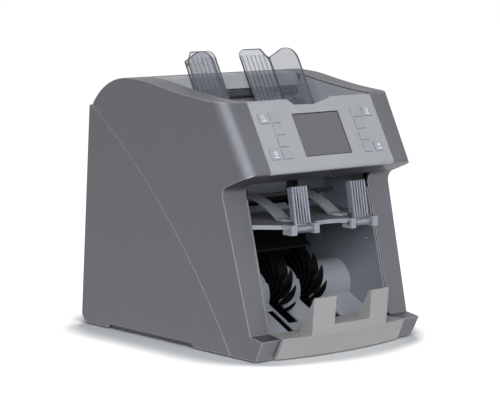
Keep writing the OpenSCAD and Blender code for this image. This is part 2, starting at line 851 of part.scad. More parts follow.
module transport_drum() {
    color(black) {
        rod(drum_c, roller_shaft_r, plane_b - belt_w, frame_x + 4);
        difference() {
            rod(drum_c, drum_r, -drum_half, drum_half);
            for (s = [-1, 1])
                rod(drum_c, drum_r - 6, s > 0 ? drum_half - 12 : -drum_half - 1,
                    s > 0 ? drum_half + 1 : -drum_half + 12);
            for (x = roller_xs)
                difference() {
                    rod(drum_c, drum_r + 1, x - 9, x + 9);
                    rod(drum_c, drum_r - 1.5, x - 10, x + 10);
                }
        }
        for (x = [6 - drum_half, drum_half - 6]) rod(drum_c, drum_r - 14, x - 6, x + 6);
    }
    color(steel) {
        pulley(drum_c, drum_pulley_r, plane_a - belt_w - 2);
        pulley(drum_c, drum_pulley_small_r, plane_b - belt_w - 2);
    }
}

module diverter_gate() {
    tip = gate_c + [18, -1];
    wide = span_x - 5;
    color(black) {
        rod(gate_c, roller_shaft_r, -frame_x - frame_t, solenoid_x[0] + 0.6 * solenoid_len);
        rod(gate_c, 5, -wide, wide);
        side_prism([gate_c + [0, -4.8], tip + [0, -0.5], tip + [0, 0.5], gate_c + [0, 4.8]], -wide, wide);
    }
}

module gate_solenoid() {
    color(steel) difference() {
        rod(gate_c, 12, solenoid_x[0], solenoid_x[1]);
        rod(gate_c, roller_shaft_r + run_fit, solenoid_x[0] - 1, solenoid_x[0] + 0.6 * solenoid_len + gap);
    }
}

// Motor body with a blind shaft bore, its mounting face at x0
module motor_body(c, r, x0, x1, mouth) {
    difference() {
        union() {
            rod(c, r, x0, x1);
            rod(c, r - 4, x0 - 3, x1 + 3);
        }
        rod(c, roller_shaft_r + run_fit, mouth[0], mouth[1]);
    }
}

module drive_motors() {
    color(steel) {
        motor_body(motor_c, 24, -frame_x + 3, -frame_x + 51.4, [-frame_x - 1, -frame_x + 24]);
        motor_body(stacker_motor_c, 18, frame_x - 41.4, frame_x - 3, [frame_x - 24, frame_x + 1]);
    }
}

module motor_pulley() {
    color(steel) {
        rod(motor_c, roller_shaft_r, plane_a - belt_w - 2, -frame_x + 22);
        pulley(motor_c, motor_pulley_r, plane_a - belt_w - 2);
    }
}

module stacker_motor_pulley() {
    color(steel) {
        rod(stacker_motor_c, roller_shaft_r, frame_x - 22, plane_c + belt_w + 2);
        pulley(stacker_motor_c, stacker_motor_pulley_r, plane_c);
    }
}

// Loop round two pulleys, drawn through the outer tangents of circles of radius ra and rb
module tangent_loop(a, ra, b, rb) {
    way = atan2(b[1] - a[1], b[0] - a[0]);
    off = acos((ra - rb) / norm(b - a));
    translate(a) circle(ra);
    translate(b) circle(rb);
    polygon([a + ra * [cos(way + off), sin(way + off)], a + ra * [cos(way - off), sin(way - off)],
        b + rb * [cos(way - off), sin(way - off)], b + rb * [cos(way + off), sin(way + off)]]);
}

module belt(a, ra, b, rb, x) {
    translate([x, 0, 0]) rotate([90, 0, 90]) linear_extrude(belt_w) difference() {
        tangent_loop(a, ra + belt_gap + belt_t, b, rb + belt_gap + belt_t);
        tangent_loop(a, ra + belt_gap, b, rb + belt_gap);
    }
}

module drive_belts() {
    color(black) {
        belt(motor_c, motor_pulley_r, drum_c, drum_pulley_r, plane_a - belt_w - 1);
        belt(drum_c, drum_pulley_small_r, feed_c, feed_pulley_r, plane_b - belt_w - 1);
        belt(feed_c, twin_pulley_r, pickup_c, twin_pulley_r, plane_c + 1);
        belt(stacker_motor_c, stacker_motor_pulley_r, stacker_c, stacker_pulley_r, plane_c + 1);
    }
}

// Underside of the chin and roof of the reject pocket in one bent sheet
module pocket_ceiling() {
    sheet = ceiling_z[1] - ceiling_z[0];
    start = chin + (chin_tan + max(0, panel_t - chin_r) + gap) * d_under;
    low = meet(chin, d_under, [0, ceiling_z[0] + ceiling_rise], d_floor);
    back = [ceiling_back_y, ceiling_z[0]];
    half = opening_half - gap;
    color(dark_grey) intersection() {
        side_prism([start, low, back, back + [0, sheet], low + [1, sheet], start - sheet * out(d_under)],
            -half, half);
        union() {
            box([-half, -200, 190], [half, low[0] + 6, 230]);
            box([-pocket_x, low[0], 190], [pocket_x, 0, 230]);
        }
    }
}

module reject_back() {
    sheet = 2.5;
    y0 = -28;
    slot_x = pocket_x - 8.6;
    rib_pitch = (slot_x - 8) / 4;
    color(black) difference() {
        union() {
            box([-pocket_x, y0, shelf_z + gap], [pocket_x, y0 + sheet, ceiling_z[0] - gap]);
            for (i = [-4:4])
                box([i * rib_pitch - 1, y0 - 2, shelf_z + gap], [i * rib_pitch + 1, y0 + 1, shelf_z + 6]);
        }
        box([-slot_x, y0 - 5, shelf_z + 8], [slot_x, y0 + 5, shelf_z + 20]);
        for (s = [-1, 1])
            box([s * arm_x - arm_w / 2 - 2, y0 - 5, shelf_z + 5],
                [s * arm_x + arm_w / 2 + 2, y0 + 5, ceiling_z[0] - 1]);
    }
}

// Right half of the shelf seen from above, from the back edge round the tongue to the middle
shelf_half = [[0, -24], [pocket_x, -24], [pocket_x, -112.4], [72, -136], [ear_x[1][1], -146],
    [ear_x[1][0], -146], [ear_x[1][0], -138], [ear_x[0][1], -138], [ear_x[0][1], -146],
    [ear_x[0][0], -146], [20, -136], [0, -132]];

module reject_shelf() {
    ear_y = [-152, -136];
    ear_z = [stop_pin[1] - stop_barrel_r - 1, shelf_z + 1];
    color(light_grey) difference() {
        union() {
            translate([0, 0, shelf_z - shelf_t]) linear_extrude(shelf_t)
                polygon(concat(shelf_half, flipped(shelf_half)));
            for (s = [-1, 1], e = ear_x)
                box([s > 0 ? e[0] : -e[1], ear_y[0], ear_z[0]], [s > 0 ? e[1] : -e[0], ear_y[1], ear_z[1]]);
        }
        for (s = [-1, 1])
            rod(stop_pin, stop_pin_r, s > 0 ? ear_x[0][0] - 1 : -ear_x[1][1] - 1,
                s > 0 ? ear_x[1][1] + 1 : -ear_x[0][0] + 1);
    }
}

// Clear ribbed stop on its pin barrel, for the pocket side at x
module note_stop(x) {
    flange_d = 6;
    flange_low = 12;
    rib_n = 5;
    rib_pitch = (stop_w - 4) / rib_n;
    color(smoke) difference() {
        union() {
            rod(stop_pin, stop_barrel_r, x - stop_w / 2 + 0.4, x + stop_w / 2 - 0.4);
            translate([0, stop_pin[0], stop_pin[1]]) rotate([-stop_lean, 0, 0]) {
                translate([x - stop_w / 2, -stop_t / 2, stop_pin_r + 1])
                    cube([stop_w, stop_t, stop_len - stop_pin_r - 1]);
                for (s = [-1, 1])
                    translate([x + s * (stop_w / 2 - 1.2) - 1, 0, flange_low])
                        cube([2, flange_d, stop_len - flange_low - 0.5]);
                for (i = [0:rib_n])
                    translate([x - stop_w / 2 + 2 + i * rib_pitch - 0.6, -stop_t / 2 - 0.8, 6])
                        cube([1.2, 1, stop_len - 6.5]);
            }
        }
        rod(stop_pin, stop_pin_r + run_fit, x - stop_w, x + stop_w);
    }
}

module left_note_stop() {
    note_stop(-stop_x);
}

module right_note_stop() {
    note_stop(stop_x);
}

// Curved blade that rests over the shelf and widens towards its tip
module hold_arm(x) {
    turn_c = arm_arc_c + (arm_arc_r + arm_tip_r) * [cos(arm_end_a), sin(arm_end_a)];
    tip_y = turn_c[0] - arm_tip_len;
    tip_z = shelf_z + arm_rest;
    blade = concat(arc(arm_arc_c, arm_arc_r, arm_root_a, arm_end_a, 10),
        arc_on(turn_c, arm_tip_r, arm_end_a - 180, -90, 4),
        [[tip_y, tip_z], [tip_y, tip_z + arm_t]],
        arc(turn_c, arm_tip_r - arm_t, -90, arm_end_a - 180, 4),
        arc_on(arm_arc_c, arm_arc_r + arm_t, arm_end_a, arm_root_a, 10));
    color(light_grey) difference() {
        union() {
            intersection() {
                side_prism(blade, x - 15, x + 15);
                translate([x, 0, 100]) linear_extrude(120)
                    polygon([[-arm_w / 2, 0], [-arm_w / 2, arm_c[0]], [-arm_tip_w / 2, tip_y + 8],
                        [-arm_tip_w / 2 + 5, tip_y - 1], [arm_tip_w / 2 - 5, tip_y - 1],
                        [arm_tip_w / 2, tip_y + 8], [arm_w / 2, arm_c[0]], [arm_w / 2, 0]]);
            }
            rod(arm_c, arm_hub_r, x - arm_w / 2, x + arm_w / 2);
        }
        rod(arm_c, arm_shaft_r + run_fit, x - 20, x + 20);
    }
}

module left_hold_arm() {
    hold_arm(-arm_x);
}

module right_hold_arm() {
    hold_arm(arm_x);
}

// Inner side walls of both pockets, the wall behind the stacker wheels and the exit chute over them
module pocket_liners() {
    front = 0.8;
    past = span_x + 5;
    under = shelf_z - shelf_t - gap;
    pts = [[-138, plate_z[1] + gap], [back_y + 2.5, plate_z[1] + gap], [back_y + 2.5, 190], [-90, 190],
        [strip_at(184) + front, 184], [strip_at(32) + front, 32], [-138, 32]];
    color(dark_grey) difference() {
        for (s = [-1, 1])
            side_prism(pts, s > 0 ? pocket_x + gap : -span_x, s > 0 ? span_x : -pocket_x - gap);
        rod(stacker_c, stacker_shaft_r + 1, -past, past);
        rod(arm_c, arm_shaft_r + 1, -past, past);
        rod(gate_c, roller_shaft_r + 1, -past, past);
        rod(ties[2], tie_r + 1, -past, past);
    }
    color(black) {
        side_prism([[back_y, plate_z[1] + gap], [back_y + 2.5, plate_z[1] + gap],
            [back_y + 2.5, under - 28.7], [-30, under], [-33, under], [back_y, under - 29.7]],
            -pocket_x - gap, pocket_x + gap);
        side_prism([[-31.5, under], [-36, under], [-59, under - 24.2], [-73.5, under - 33.7],
            [-73.5, under - 35.7], [-58, under - 27.7], [-27, under - 2.7]], chute_x[0], chute_x[1]);
    }
}

// Rounded nose and the sloping plate that the stack rests on, with openings for the wheels
module stacker_plate() {
    flow = [-cos(plate_slope), -sin(plate_slope)];
    crease = nose_c + nose_r * [cos(nose_a[1]), sin(nose_a[1])];
    run = (crease[0] - plate_y[0] - 1) / cos(plate_slope);
    down = nose_wall * [sin(plate_slope), -cos(plate_slope)];
    slot_half = wheel_w / 2 + slot_side;
    color(light_grey) difference() {
        union() {
            shell(nose_c, nose_r, nose_r - nose_wall, nose_a, pocket_x);
            side_prism([crease + [1, 0.5], crease + run * flow, crease + run * flow + down,
                crease + [1, 0.5] + down], -pocket_x, pocket_x);
        }
        for (x = wheel_xs) {
            box([x - nose_open, crease[0] + 2, 0], [x + nose_open, 10, 120]);
            box([x - slot_half, wheel_slot_y, 0], [x + slot_half, crease[0] + 3, 120]);
        }
        for (slot = finger_slots)
            box([slot[0] - finger_slot_w / 2, slot[1], 0],
                [slot[0] + finger_slot_w / 2, crease[0] - finger_slot_top, 120]);
    }
}

// One curved vane in the side view, its tip trailing upwards at the front
module vane() {
    intersection() {
        translate([0, vane_arc_off]) difference() {
            circle(vane_arc_r);
            circle(vane_arc_r - vane_t);
        }
        translate([-wheel_r - 1, -wheel_r - 1]) square([wheel_r + 1, 2 * wheel_r + 2]);
        difference() {
            circle(wheel_r + 3);
            circle(hub_r - 1);
        }
    }
}

// Vanes of one wheel, cut back along a cone so that each ends in a point
module vane_ring() {
    intersection() {
        for (i = [0:vane_count - 1])
            rotate([90, 0, 90]) linear_extrude(wheel_w) rotate(i * 360 / vane_count) vane();
        rotate([0, 90, 0]) cylinder(r1 = wheel_r - vane_point, r2 = wheel_r, h = wheel_w);
    }
}

module stacker_wheels() {
    color(black) for (x = wheel_xs)
        translate([x - wheel_w / 2, stacker_c[0], stacker_c[1]]) difference() {
            union() {
                rod([0, 0], hub_r, 0, wheel_w);
                vane_ring();
            }
            rod([0, 0], stacker_shaft_r, -1, wheel_w + 1);
        }
    color(steel) {
        rod(stacker_c, stacker_shaft_r, -frame_x - 4, plane_c + belt_w + 2);
        pulley(stacker_c, stacker_pulley_r, plane_c);
    }
}

// Bow of the bar: a cone about a vertical axis behind it, from z0 to z1
module bow(z0, r0, z1, r1) {
    translate([0, bar_front_y + bar_bow_r, z0]) cylinder(r1 = r0, r2 = r1, h = z1 - z0, $fn = 256);
}

module front_bar() {
    half = opening_half - gap;
    lean_r = bar_bow_r - 0.6;
    color(light_grey) {
        intersection() {
            box([-half, -220, case_lift], [half, bar_rear_y, bar_z]);
            bow(case_lift, bar_bow_r - bar_under, bar_z, bar_bow_r);
        }
        intersection() {
            union() {
                box([-upright_x, -220, bar_z], [upright_x, bar_front_y + lip_depth, lip_z]);
                for (s = [-1, 1])
                    side_prism([[-220, bar_z], [bar_front_y + upright_low_d, bar_z],
                        [bar_front_y - upright_lean + upright_top_d, upright_z], [-220, upright_z]],
                        s * upright_x - upright_w / 2, s * upright_x + upright_w / 2);
            }
            bow(bar_z, lean_r, upright_z, lean_r + upright_lean);
        }
    }
}

// Mains inlet with its three blades, and the housing of the power switch
module inlet_module() {
    color(black) on_rear(service_z) {
        translate([inlet_x, 0, 0]) {
            difference() {
                union() {
                    translate([-15.5, -12, -2.2]) cube([31, 24, 2.2]);
                    translate([-13.5, -9.8, 0]) cube([27, 19.6, 20]);
                }
                translate([0, 0, -3]) linear_extrude(18)
                    polygon([[-12, -8], [12, -8], [12, 3], [7, 8], [-7, 8], [-12, 3]]);
            }
            for (p = [[-7, -1], [0, 3], [7, -1]])
                translate([p[0] - 1, p[1] - 2, 2]) cube([2, 4, 14]);
        }
        translate([switch_x, 0, 0]) difference() {
            union() {
                translate([-8, -11.5, -2]) cube([16, 23, 2]);
                translate([-6.5, -9.6, 0]) cube([13, 19.2, 16]);
            }
            translate([-rocker_w / 2 - gap, -8.6, -3]) cube([rocker_w + 2 * gap, 17.2, 13]);
            rod([0, rocker_pivot], rocker_pin_r + run_fit, -7, 7);
        }
    }
}

// Rocker of the power switch, resting with its lower half pressed in
module power_rocker() {
    color(black) on_rear(service_z) translate([switch_x, 0, rocker_pivot]) rotate([-rocker_tilt, 0, 0]) {
        side_prism([[-rocker_half, -4.6], [0, -3.2], [rocker_half, -4.6], [rocker_half, 3],
            [-rocker_half, 3]], -rocker_w / 2, rocker_w / 2);
        rod([0, 0], rocker_pin_r, -6.2, 6.2);
    }
}

module power_supply() {
    color(steel) box([5.4 - frame_x, 62, plate_z[1]], [2, 150, 48]);
}

// Main circuit board on four posts, with its processor cover and two connectors
module main_board() {
    x0 = 12;
    x1 = frame_x - 4.4;
    y0 = 70;
    y1 = 150;
    z0 = 14;
    color(board_green) {
        box([x0, y0, z0], [x1, y1, z0 + board_t]);
        for (x = [x0 + 5, x1 - 5], y = [y0 + 5, y1 - 5])
            translate([x, y, plate_z[1]]) cylinder(r = 3, h = z0 - plate_z[1]);
    }
    color(steel) box([x0 + 22, y0 + 20, z0 + board_t], [x0 + 58, y0 + 56, z0 + board_t + 4]);
    color(black) for (y = [y0 + 8, y1 - 16])
        box([x0 + 26, y, z0 + board_t], [x0 + 62, y + 8, z0 + board_t + 9]);
}

left_side_cover();
right_side_cover();
left_base_cover();
right_base_cover();
rear_panel();
rear_door();
door_note_guide();
door_latch();
top_rear_cover();
base_plate();
rubber_feet();
left_side_frame();
right_side_frame();
cross_rods();
hinge_pins();
control_panel();
display_window();
panel_board();
key(key_at(-key_x_in, 3));  // key_left_1
key(key_at(-key_x_in, 2));  // key_left_2
key(key_at(-key_x_in, 1));  // key_left_3
key(key_at(-key_x_in, 0));  // key_left_4
key(key_at(-key_x_out, 3));  // key_left_top
key(key_at(-key_x_out, 0));  // key_left_bottom
key(key_at(key_x_in, 3));  // key_right_1
key(key_at(key_x_in, 2));  // key_right_2
key(key_at(key_x_in, 1));  // key_right_3
key(key_at(key_x_in, 0));  // key_right_4
key(key_at(key_x_out, 3));  // key_right_top
key(key_at(key_x_out, 0));  // key_right_bottom
hopper_tray();
hopper_back_bar();
left_hopper_guide();
right_hopper_guide();
pickup_roller();
feed_roller();
retard_roller();
image_sensors();
transport_drum();
diverter_gate();
gate_solenoid();
drive_motors();
motor_pulley();
stacker_motor_pulley();
drive_belts();
pocket_ceiling();
reject_back();
reject_shelf();
left_note_stop();
right_note_stop();
left_hold_arm();
right_hold_arm();
pocket_liners();
stacker_plate();
stacker_wheels();
front_bar();
inlet_module();
power_rocker();
power_supply();
main_board();
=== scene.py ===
"""Dresses a two-pocket banknote sorter and sets it in a white studio.

Each piece gets a finish, the mouldings get rounded edges and finishes for some of their faces, and
a black band of painted shade round the screen, a plate behind the rail, key signs, screws and plate
ridges are added.
"""

import json
import math

import bmesh
import bpy
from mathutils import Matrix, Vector
from mathutils.bvhtree import BVHTree


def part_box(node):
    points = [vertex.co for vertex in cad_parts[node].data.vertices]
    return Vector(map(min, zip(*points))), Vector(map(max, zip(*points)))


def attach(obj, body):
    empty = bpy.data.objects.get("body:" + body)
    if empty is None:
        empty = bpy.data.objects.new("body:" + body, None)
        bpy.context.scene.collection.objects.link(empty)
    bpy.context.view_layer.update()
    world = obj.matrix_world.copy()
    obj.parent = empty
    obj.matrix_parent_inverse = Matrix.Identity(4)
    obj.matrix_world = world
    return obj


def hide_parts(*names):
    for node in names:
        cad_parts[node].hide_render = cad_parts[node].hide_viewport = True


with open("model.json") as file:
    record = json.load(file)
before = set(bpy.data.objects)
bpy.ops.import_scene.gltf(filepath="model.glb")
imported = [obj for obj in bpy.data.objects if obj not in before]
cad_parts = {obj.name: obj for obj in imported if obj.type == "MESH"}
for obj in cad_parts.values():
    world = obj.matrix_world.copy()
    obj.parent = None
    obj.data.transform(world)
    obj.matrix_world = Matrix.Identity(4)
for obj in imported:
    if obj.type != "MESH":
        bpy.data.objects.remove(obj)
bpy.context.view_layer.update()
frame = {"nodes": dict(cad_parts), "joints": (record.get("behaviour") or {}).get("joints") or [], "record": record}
nodes = frame["nodes"]
record = frame["record"]
body_of = {name: body for body, names in record["behaviour"]["bodies"].items() for name in names}
joint_named = {joint["name"]: joint for joint in frame["joints"]}

MM = 0.001
WELD = 0.00002
SAME_PLANE = 0.0002
SAME_WAY = 0.999
FLAT_ANGLE = math.radians(0.6)
SMOOTH_ANGLE = math.radians(32)
UP, TO_FRONT, TO_RIGHT = Vector((0, 0, 1)), Vector((0, -1, 0)), Vector((1, 0, 0))

# Directions of the control panel, from the way its keys travel
PANEL_OUT = -Vector(joint_named["key_left_1_press"]["axis"]).normalized()
PANEL_RIGHT = TO_RIGHT
PANEL_UP = PANEL_OUT.cross(PANEL_RIGHT)
PANEL_AXES = PANEL_RIGHT, PANEL_UP, PANEL_OUT

# Colours as they look on screen, 0 to 255
CASING_GREY = (98, 98, 103)
PANEL_GREY = (155, 156, 159)
KEY_GREY = (150, 152, 157)
BAR_GREY = (154, 151, 151)
PLATE_GREY = (149, 151, 158)
LINER_GREY = (121, 125, 133)
SCREEN_GREY = (72, 70, 77)
TRAY_BLACK = (88, 88, 94)
TRAY_WALL_GREY = (172, 174, 180)
BACKING_GREY = (172, 173, 179)
ARM_GREY = (140, 143, 149)
SHELF_GREY = (90, 92, 98)
CEILING_GREY = (56, 57, 62)
# Near black base plate: painted shade where the plate shows under the arch of the covers
BASE_SHADE_BLACK = (44, 44, 47)
CHUTE_BLACK = (12, 12, 13)
WHEEL_BLACK = (4, 4, 5)
RUBBER_BLACK = (38, 37, 37)
ROD_BLACK = (72, 72, 76)
STEEL_GREY = (190, 190, 194)
SHAFT_GREY = (205, 205, 208)
GUIDE_SMOKE = (134, 141, 154)
GUIDE_OUTLINE = (46, 49, 56)
GUIDE_RIM = (38, 40, 45)
GUIDE_RIB = (96, 100, 109)
STOP_SMOKE = (140, 145, 156)
STOP_OUTLINE = (92, 96, 105)
# Painted highlights on the narrow rib faces of the note stops
STOP_HIGHLIGHT_PALE = (188, 193, 203)
BOARD_GREEN = (22, 92, 52)
TRACK_GREEN = (52, 130, 76)
MARK_WHITE = (236, 238, 240)
DUST_GREY = (186, 184, 178)
# Colour of the painted shade in seams and gaps
SEAM_SHADE_BLACK = (16, 16, 18)


def across_panel(point):
    """A point's place to the right, up and out of the panel."""
    return Vector(point.dot(axis) for axis in PANEL_AXES)


def panel_box(name):
    """Low and high corner of a CAD piece along the panel's directions."""
    places = [across_panel(vertex.co) for vertex in nodes[name].data.vertices]
    return [Vector(pick(place[i] for place in places) for i in range(3)) for pick in (min, max)]


def linear(colour, gain=1.0):
    """A 0 to 255 screen colour as the linear colour a shader takes."""
    shares = [value / 255 for value in colour]
    straight = [s / 12.92 if s <= 0.04045 else ((s + 0.055) / 1.055) ** 2.4 for s in shares]
    return tuple(gain * value for value in straight) + (1.0,)


# Shader building blocks


def add(tree, kind, **settings):
    node = tree.nodes.new(kind)
    for name, value in settings.items():
        setattr(node, name, value)
    return node


def put(tree, socket, value):
    """Links an input to a socket, or sets it to a plain value."""
    if isinstance(value, bpy.types.NodeSocket):
        tree.links.new(value, socket)
    else:
        socket.default_value = value


def feed(tree, node, **values):
    """Sets or links a node's inputs by name; underscores in a name stand for spaces."""
    for name, value in values.items():
        put(tree, node.inputs[name.replace("_", " ")], value)
    return node


def math_node(tree, operation, first, second):
    node = add(tree, "ShaderNodeMath", operation=operation)
    for socket, value in zip(node.inputs, (first, second)):
        put(tree, socket, value)
    return node.outputs[0]


def ramp(tree, value, low, high):
    """Value stretched so that low becomes 0 and high becomes 1, with a soft start and end."""
    node = add(tree, "ShaderNodeMapRange", interpolation_type="SMOOTHSTEP")
    return feed(tree, node, Value=value, From_Min=low, From_Max=high).outputs["Result"]


def between(tree, share, low, high):
    """A value that goes from low to high as the share goes from 0 to 1."""
    node = add(tree, "ShaderNodeMapRange")
    return feed(tree, node, Value=share, To_Min=low, To_Max=high).outputs["Result"]


def noise(tree, vector, scale, detail=3.0, roughness=0.55):
    node = add(tree, "ShaderNodeTexNoise")
    feed(tree, node, Vector=vector, Scale=scale, Detail=detail, Roughness=roughness)
    return node.outputs["Fac"]


# Sockets of a mix node that mixes colours: its factor and both colours, and its result
MIX_INPUTS, MIX_RESULT = (0, 6, 7), 2


def mix_colour(tree, factor, first, second):
    node = add(tree, "ShaderNodeMix", data_type="RGBA")
    for index, value in zip(MIX_INPUTS, (factor, first, second)):
        put(tree, node.inputs[index], value)
    return node.outputs[MIX_RESULT]


def drifting(tree, share, colour, drift):
    """A screen colour that goes from darker to paler as the share goes from 0 to 1."""
    return mix_colour(tree, share, linear(colour, 1 - drift), linear(colour, 1 + drift))


def bump(tree, height, strength, distance):
    node = add(tree, "ShaderNodeBump")
    feed(tree, node, Height=height, Strength=strength, Distance=distance)
    return node.outputs["Normal"]


def own_place(tree):
    return add(tree, "ShaderNodeTexCoord").outputs["Object"]


def own_normal(tree):
    return add(tree, "ShaderNodeNewGeometry").outputs["Normal"]


def new_group(name, inputs, outputs):
    """An empty shader group; returns its tree, its input sockets by name and its output node."""
    tree = bpy.data.node_groups.new(name, "ShaderNodeTree")
    for label, value in inputs.items():
        socket = tree.interface.new_socket(label, in_out="INPUT", socket_type="NodeSocketFloat")
        socket.default_value = value
    for label in outputs:
        tree.interface.new_socket(label, in_out="OUTPUT", socket_type="NodeSocketFloat")
    return tree, add(tree, "NodeGroupInput").outputs, add(tree, "NodeGroupOutput")


def moulded_grain_group():
    """Spark-eroded grain of a moulding, slow drifts of tone and patches of handling haze."""
    tree, given, result = new_group("moulded_grain", {"Pitch": 1500.0}, ("Height", "Tone", "Haze"))
    place = own_place(tree)
    patches = noise(tree, place, scale=55.0, detail=5.0, roughness=0.65)
    feed(
        tree,
        result,
        Height=noise(tree, place, given["Pitch"], detail=4.0, roughness=0.6),
        Tone=noise(tree, place, scale=7.0, detail=2.0),
        Haze=ramp(tree, patches, low=0.3, high=0.7),
    )
    return tree


def edge_mask_group():
    """Mask along edges, broken up where it isn't even, so that the edges it marks come and go."""
    inputs = {"Reach": 0.0012, "Breakup": 180.0, "Evenness": 0.0}
    tree, given, result = new_group("worn_edges", inputs, ("Mask",))
    rounded = feed(tree, add(tree, "ShaderNodeBevel", samples=4), Radius=given["Reach"])
    turn = add(tree, "ShaderNodeVectorMath", operation="DOT_PRODUCT")
    put(tree, turn.inputs[0], rounded.outputs["Normal"])
    put(tree, turn.inputs[1], own_normal(tree))
    edge = ramp(tree, math_node(tree, "SUBTRACT", 1.0, turn.outputs["Value"]), low=0.02, high=0.22)
    patches = noise(tree, own_place(tree), given["Breakup"], detail=4.0)
    breaks = ramp(tree, patches, low=0.3, high=0.7)
    kept = math_node(tree, "MAXIMUM", breaks, given["Evenness"])
    feed(tree, result, Mask=math_node(tree, "MULTIPLY", edge, kept))
    return tree


def painted_seam_shade_group():
    """Mask of painted shade in the seams and narrow gaps between mouldings, where a point is closed in."""
    tree, given, result = new_group("dark_grooves", {"Reach": 0.003}, ("Mask",))
    nearness = add(tree, "ShaderNodeAmbientOcclusion", samples=8)
    feed(tree, nearness, Distance=given["Reach"])
    open_share = ramp(tree, nearness.outputs["AO"], low=0.35, high=0.85)
    feed(tree, result, Mask=math_node(tree, "SUBTRACT", 1.0, open_share))
    return tree


def settled_dust_group():
    """Mask on faces that look up, in soft clouds."""
    tree, given, result = new_group("settled_dust", {"Amount": 0.2}, ("Mask",))
    facing = add(tree, "ShaderNodeSeparateXYZ")
    put(tree, facing.inputs[0], own_normal(tree))
    level = ramp(tree, facing.outputs["Z"], low=0.55, high=1.0)
    puffs = noise(tree, own_place(tree), scale=24.0, detail=5.0, roughness=0.7)
    cover = math_node(tree, "MULTIPLY", level, ramp(tree, puffs, low=0.35, high=0.75))
    feed(tree, result, Mask=math_node(tree, "MULTIPLY", cover, given["Amount"]))
    return tree


GRAIN = moulded_grain_group()
EDGE_MASK = edge_mask_group()
DUST = settled_dust_group()
PAINTED_SEAM_SHADE = painted_seam_shade_group()


def place_group(tree, group, **values):
    return feed(tree, add(tree, "ShaderNodeGroup", node_tree=group), **values).outputs


def new_material(name):
    material = bpy.data.materials.new(name)
    material.use_nodes = True
    tree = material.node_tree
    return material, tree, tree.nodes["Principled BSDF"]


# Finishes

HAZE_LOSS, HAZE_GAIN = 0.05, 0.07
GRAIN_DEPTH = 0.0002


def moulding(
    name, colour, rough, pitch=1500.0, depth=0.12, wear_and_highlight=0.25, pale=60, dust=0.12, drift=0.05,
    flake=0.0, shine=0.5, even=0.0, seam_shade=0.0, reach=0.0012, haze=1.0,
):
    """Grained plastic: drifting tone, paler edges, dust on top, hazy gloss and painted seam shade.

    Pitch and depth belong to the grain. The edge setting, pale, even and reach shape the paler edges:
    edge wear, and painted highlights where the edge setting is high. Flake is the metal in a paint,
    shine the strength of its gloss and the seam setting the strength of the painted seam shade.
    """
    material, tree, shader = new_material(name)
    grain = place_group(tree, GRAIN, Pitch=pitch)
    body = drifting(tree, grain["Tone"], colour, drift)
    # Paler edges: edge wear, and painted highlights where the edge setting is high
    worn_and_lit = place_group(tree, EDGE_MASK, Reach=reach, Evenness=even)["Mask"]
    edge = math_node(tree, "MULTIPLY", worn_and_lit, wear_and_highlight)
    body = mix_colour(tree, edge, body, linear([min(255, value + pale) for value in colour]))
    body = mix_colour(tree, place_group(tree, DUST, Amount=dust)["Mask"], body, linear(DUST_GREY))
    # Painted shade in seams and narrow gaps
    if seam_shade:
        shade = math_node(tree, "MULTIPLY", place_group(tree, PAINTED_SEAM_SHADE)["Mask"], seam_shade)
        body = mix_colour(tree, shade, body, linear(SEAM_SHADE_BLACK))
    feed(
        tree,
        shader,
        Base_Color=body,
        Roughness=between(tree, grain["Haze"], rough - HAZE_LOSS * haze, rough + HAZE_GAIN * haze),
        Normal=bump(tree, grain["Height"], depth, GRAIN_DEPTH),
        Metallic=flake,
        Specular_IOR_Level=shine,
    )
    return material


CLEAR_PITCH, CLEAR_RIPPLE, CLEAR_DEPTH = 260.0, 0.03, 0.0003
CLEAR_DRIFT, CLEAR_SCUFF = 0.08, 0.08
OUTLINE_REACH, OUTLINE_COVER = 0.0018, 0.9


def clear_moulding(name, tint, rough, cover, outline=None):
    """Smoked clear plastic: a haze of its own colour over what lies behind, with a scuffed gloss.

    An outline colour darkens its edges and ribs, where the plastic is seen through its depth.
    """
    material, tree, shader = new_material(name)
    grain = place_group(tree, GRAIN, Pitch=CLEAR_PITCH)
    tinted = drifting(tree, grain["Tone"], tint, CLEAR_DRIFT)
    if outline:
        edge = place_group(tree, EDGE_MASK, Reach=OUTLINE_REACH, Evenness=1.0)["Mask"]
        tinted = mix_colour(tree, edge, tinted, linear(outline))
        cover = between(tree, edge, cover, OUTLINE_COVER)
    feed(
        tree,
        shader,
        Base_Color=tinted,
        Roughness=between(tree, grain["Haze"], rough, rough + CLEAR_SCUFF),
        Normal=bump(tree, grain["Height"], CLEAR_RIPPLE, CLEAR_DEPTH),
        Alpha=cover,
    )
    return material


STREAK_DARK, STREAK_PALE = 0.86, 1.08
STREAK_LOSS, STREAK_GAIN = 0.1, 0.14
STREAK_DEPTH = 0.08


def plated_metal(name, colour, rough, stretch):
    """Rolled or turned metal with fine lines along one way."""
    material, tree, shader = new_material(name)
    lines = feed(tree, add(tree, "ShaderNodeMapping"), Vector=own_place(tree), Scale=stretch)
    streak = noise(tree, lines.outputs["Vector"], scale=1.0, detail=4.0, roughness=0.6)
    dark, pale = linear(colour, STREAK_DARK), linear(colour, STREAK_PALE)
    feed(
        tree,
        shader,
        Base_Color=mix_colour(tree, streak, dark, pale),
        Roughness=between(tree, streak, rough - STREAK_LOSS, rough + STREAK_GAIN),
        Normal=bump(tree, streak, STREAK_DEPTH, GRAIN_DEPTH),
        Metallic=1.0,
    )
    return material


SCREEN_PITCH, SCREEN_DRIFT = 900.0, 0.05
SCREEN_CLEAN, SCREEN_WIPED = 0.22, 0.34


def display_pane(name):
    """Dark grey screen behind a hard clear layer with a few wipe marks."""
    material, tree, shader = new_material(name)
    grain = place_group(tree, GRAIN, Pitch=SCREEN_PITCH)
    feed(
        tree,
        shader,
        Base_Color=drifting(tree, grain["Tone"], SCREEN_GREY, SCREEN_DRIFT),
        Roughness=between(tree, grain["Haze"], SCREEN_CLEAN, SCREEN_WIPED),
        Coat_Weight=0.2,
        Coat_Roughness=0.1,
    )
    return material


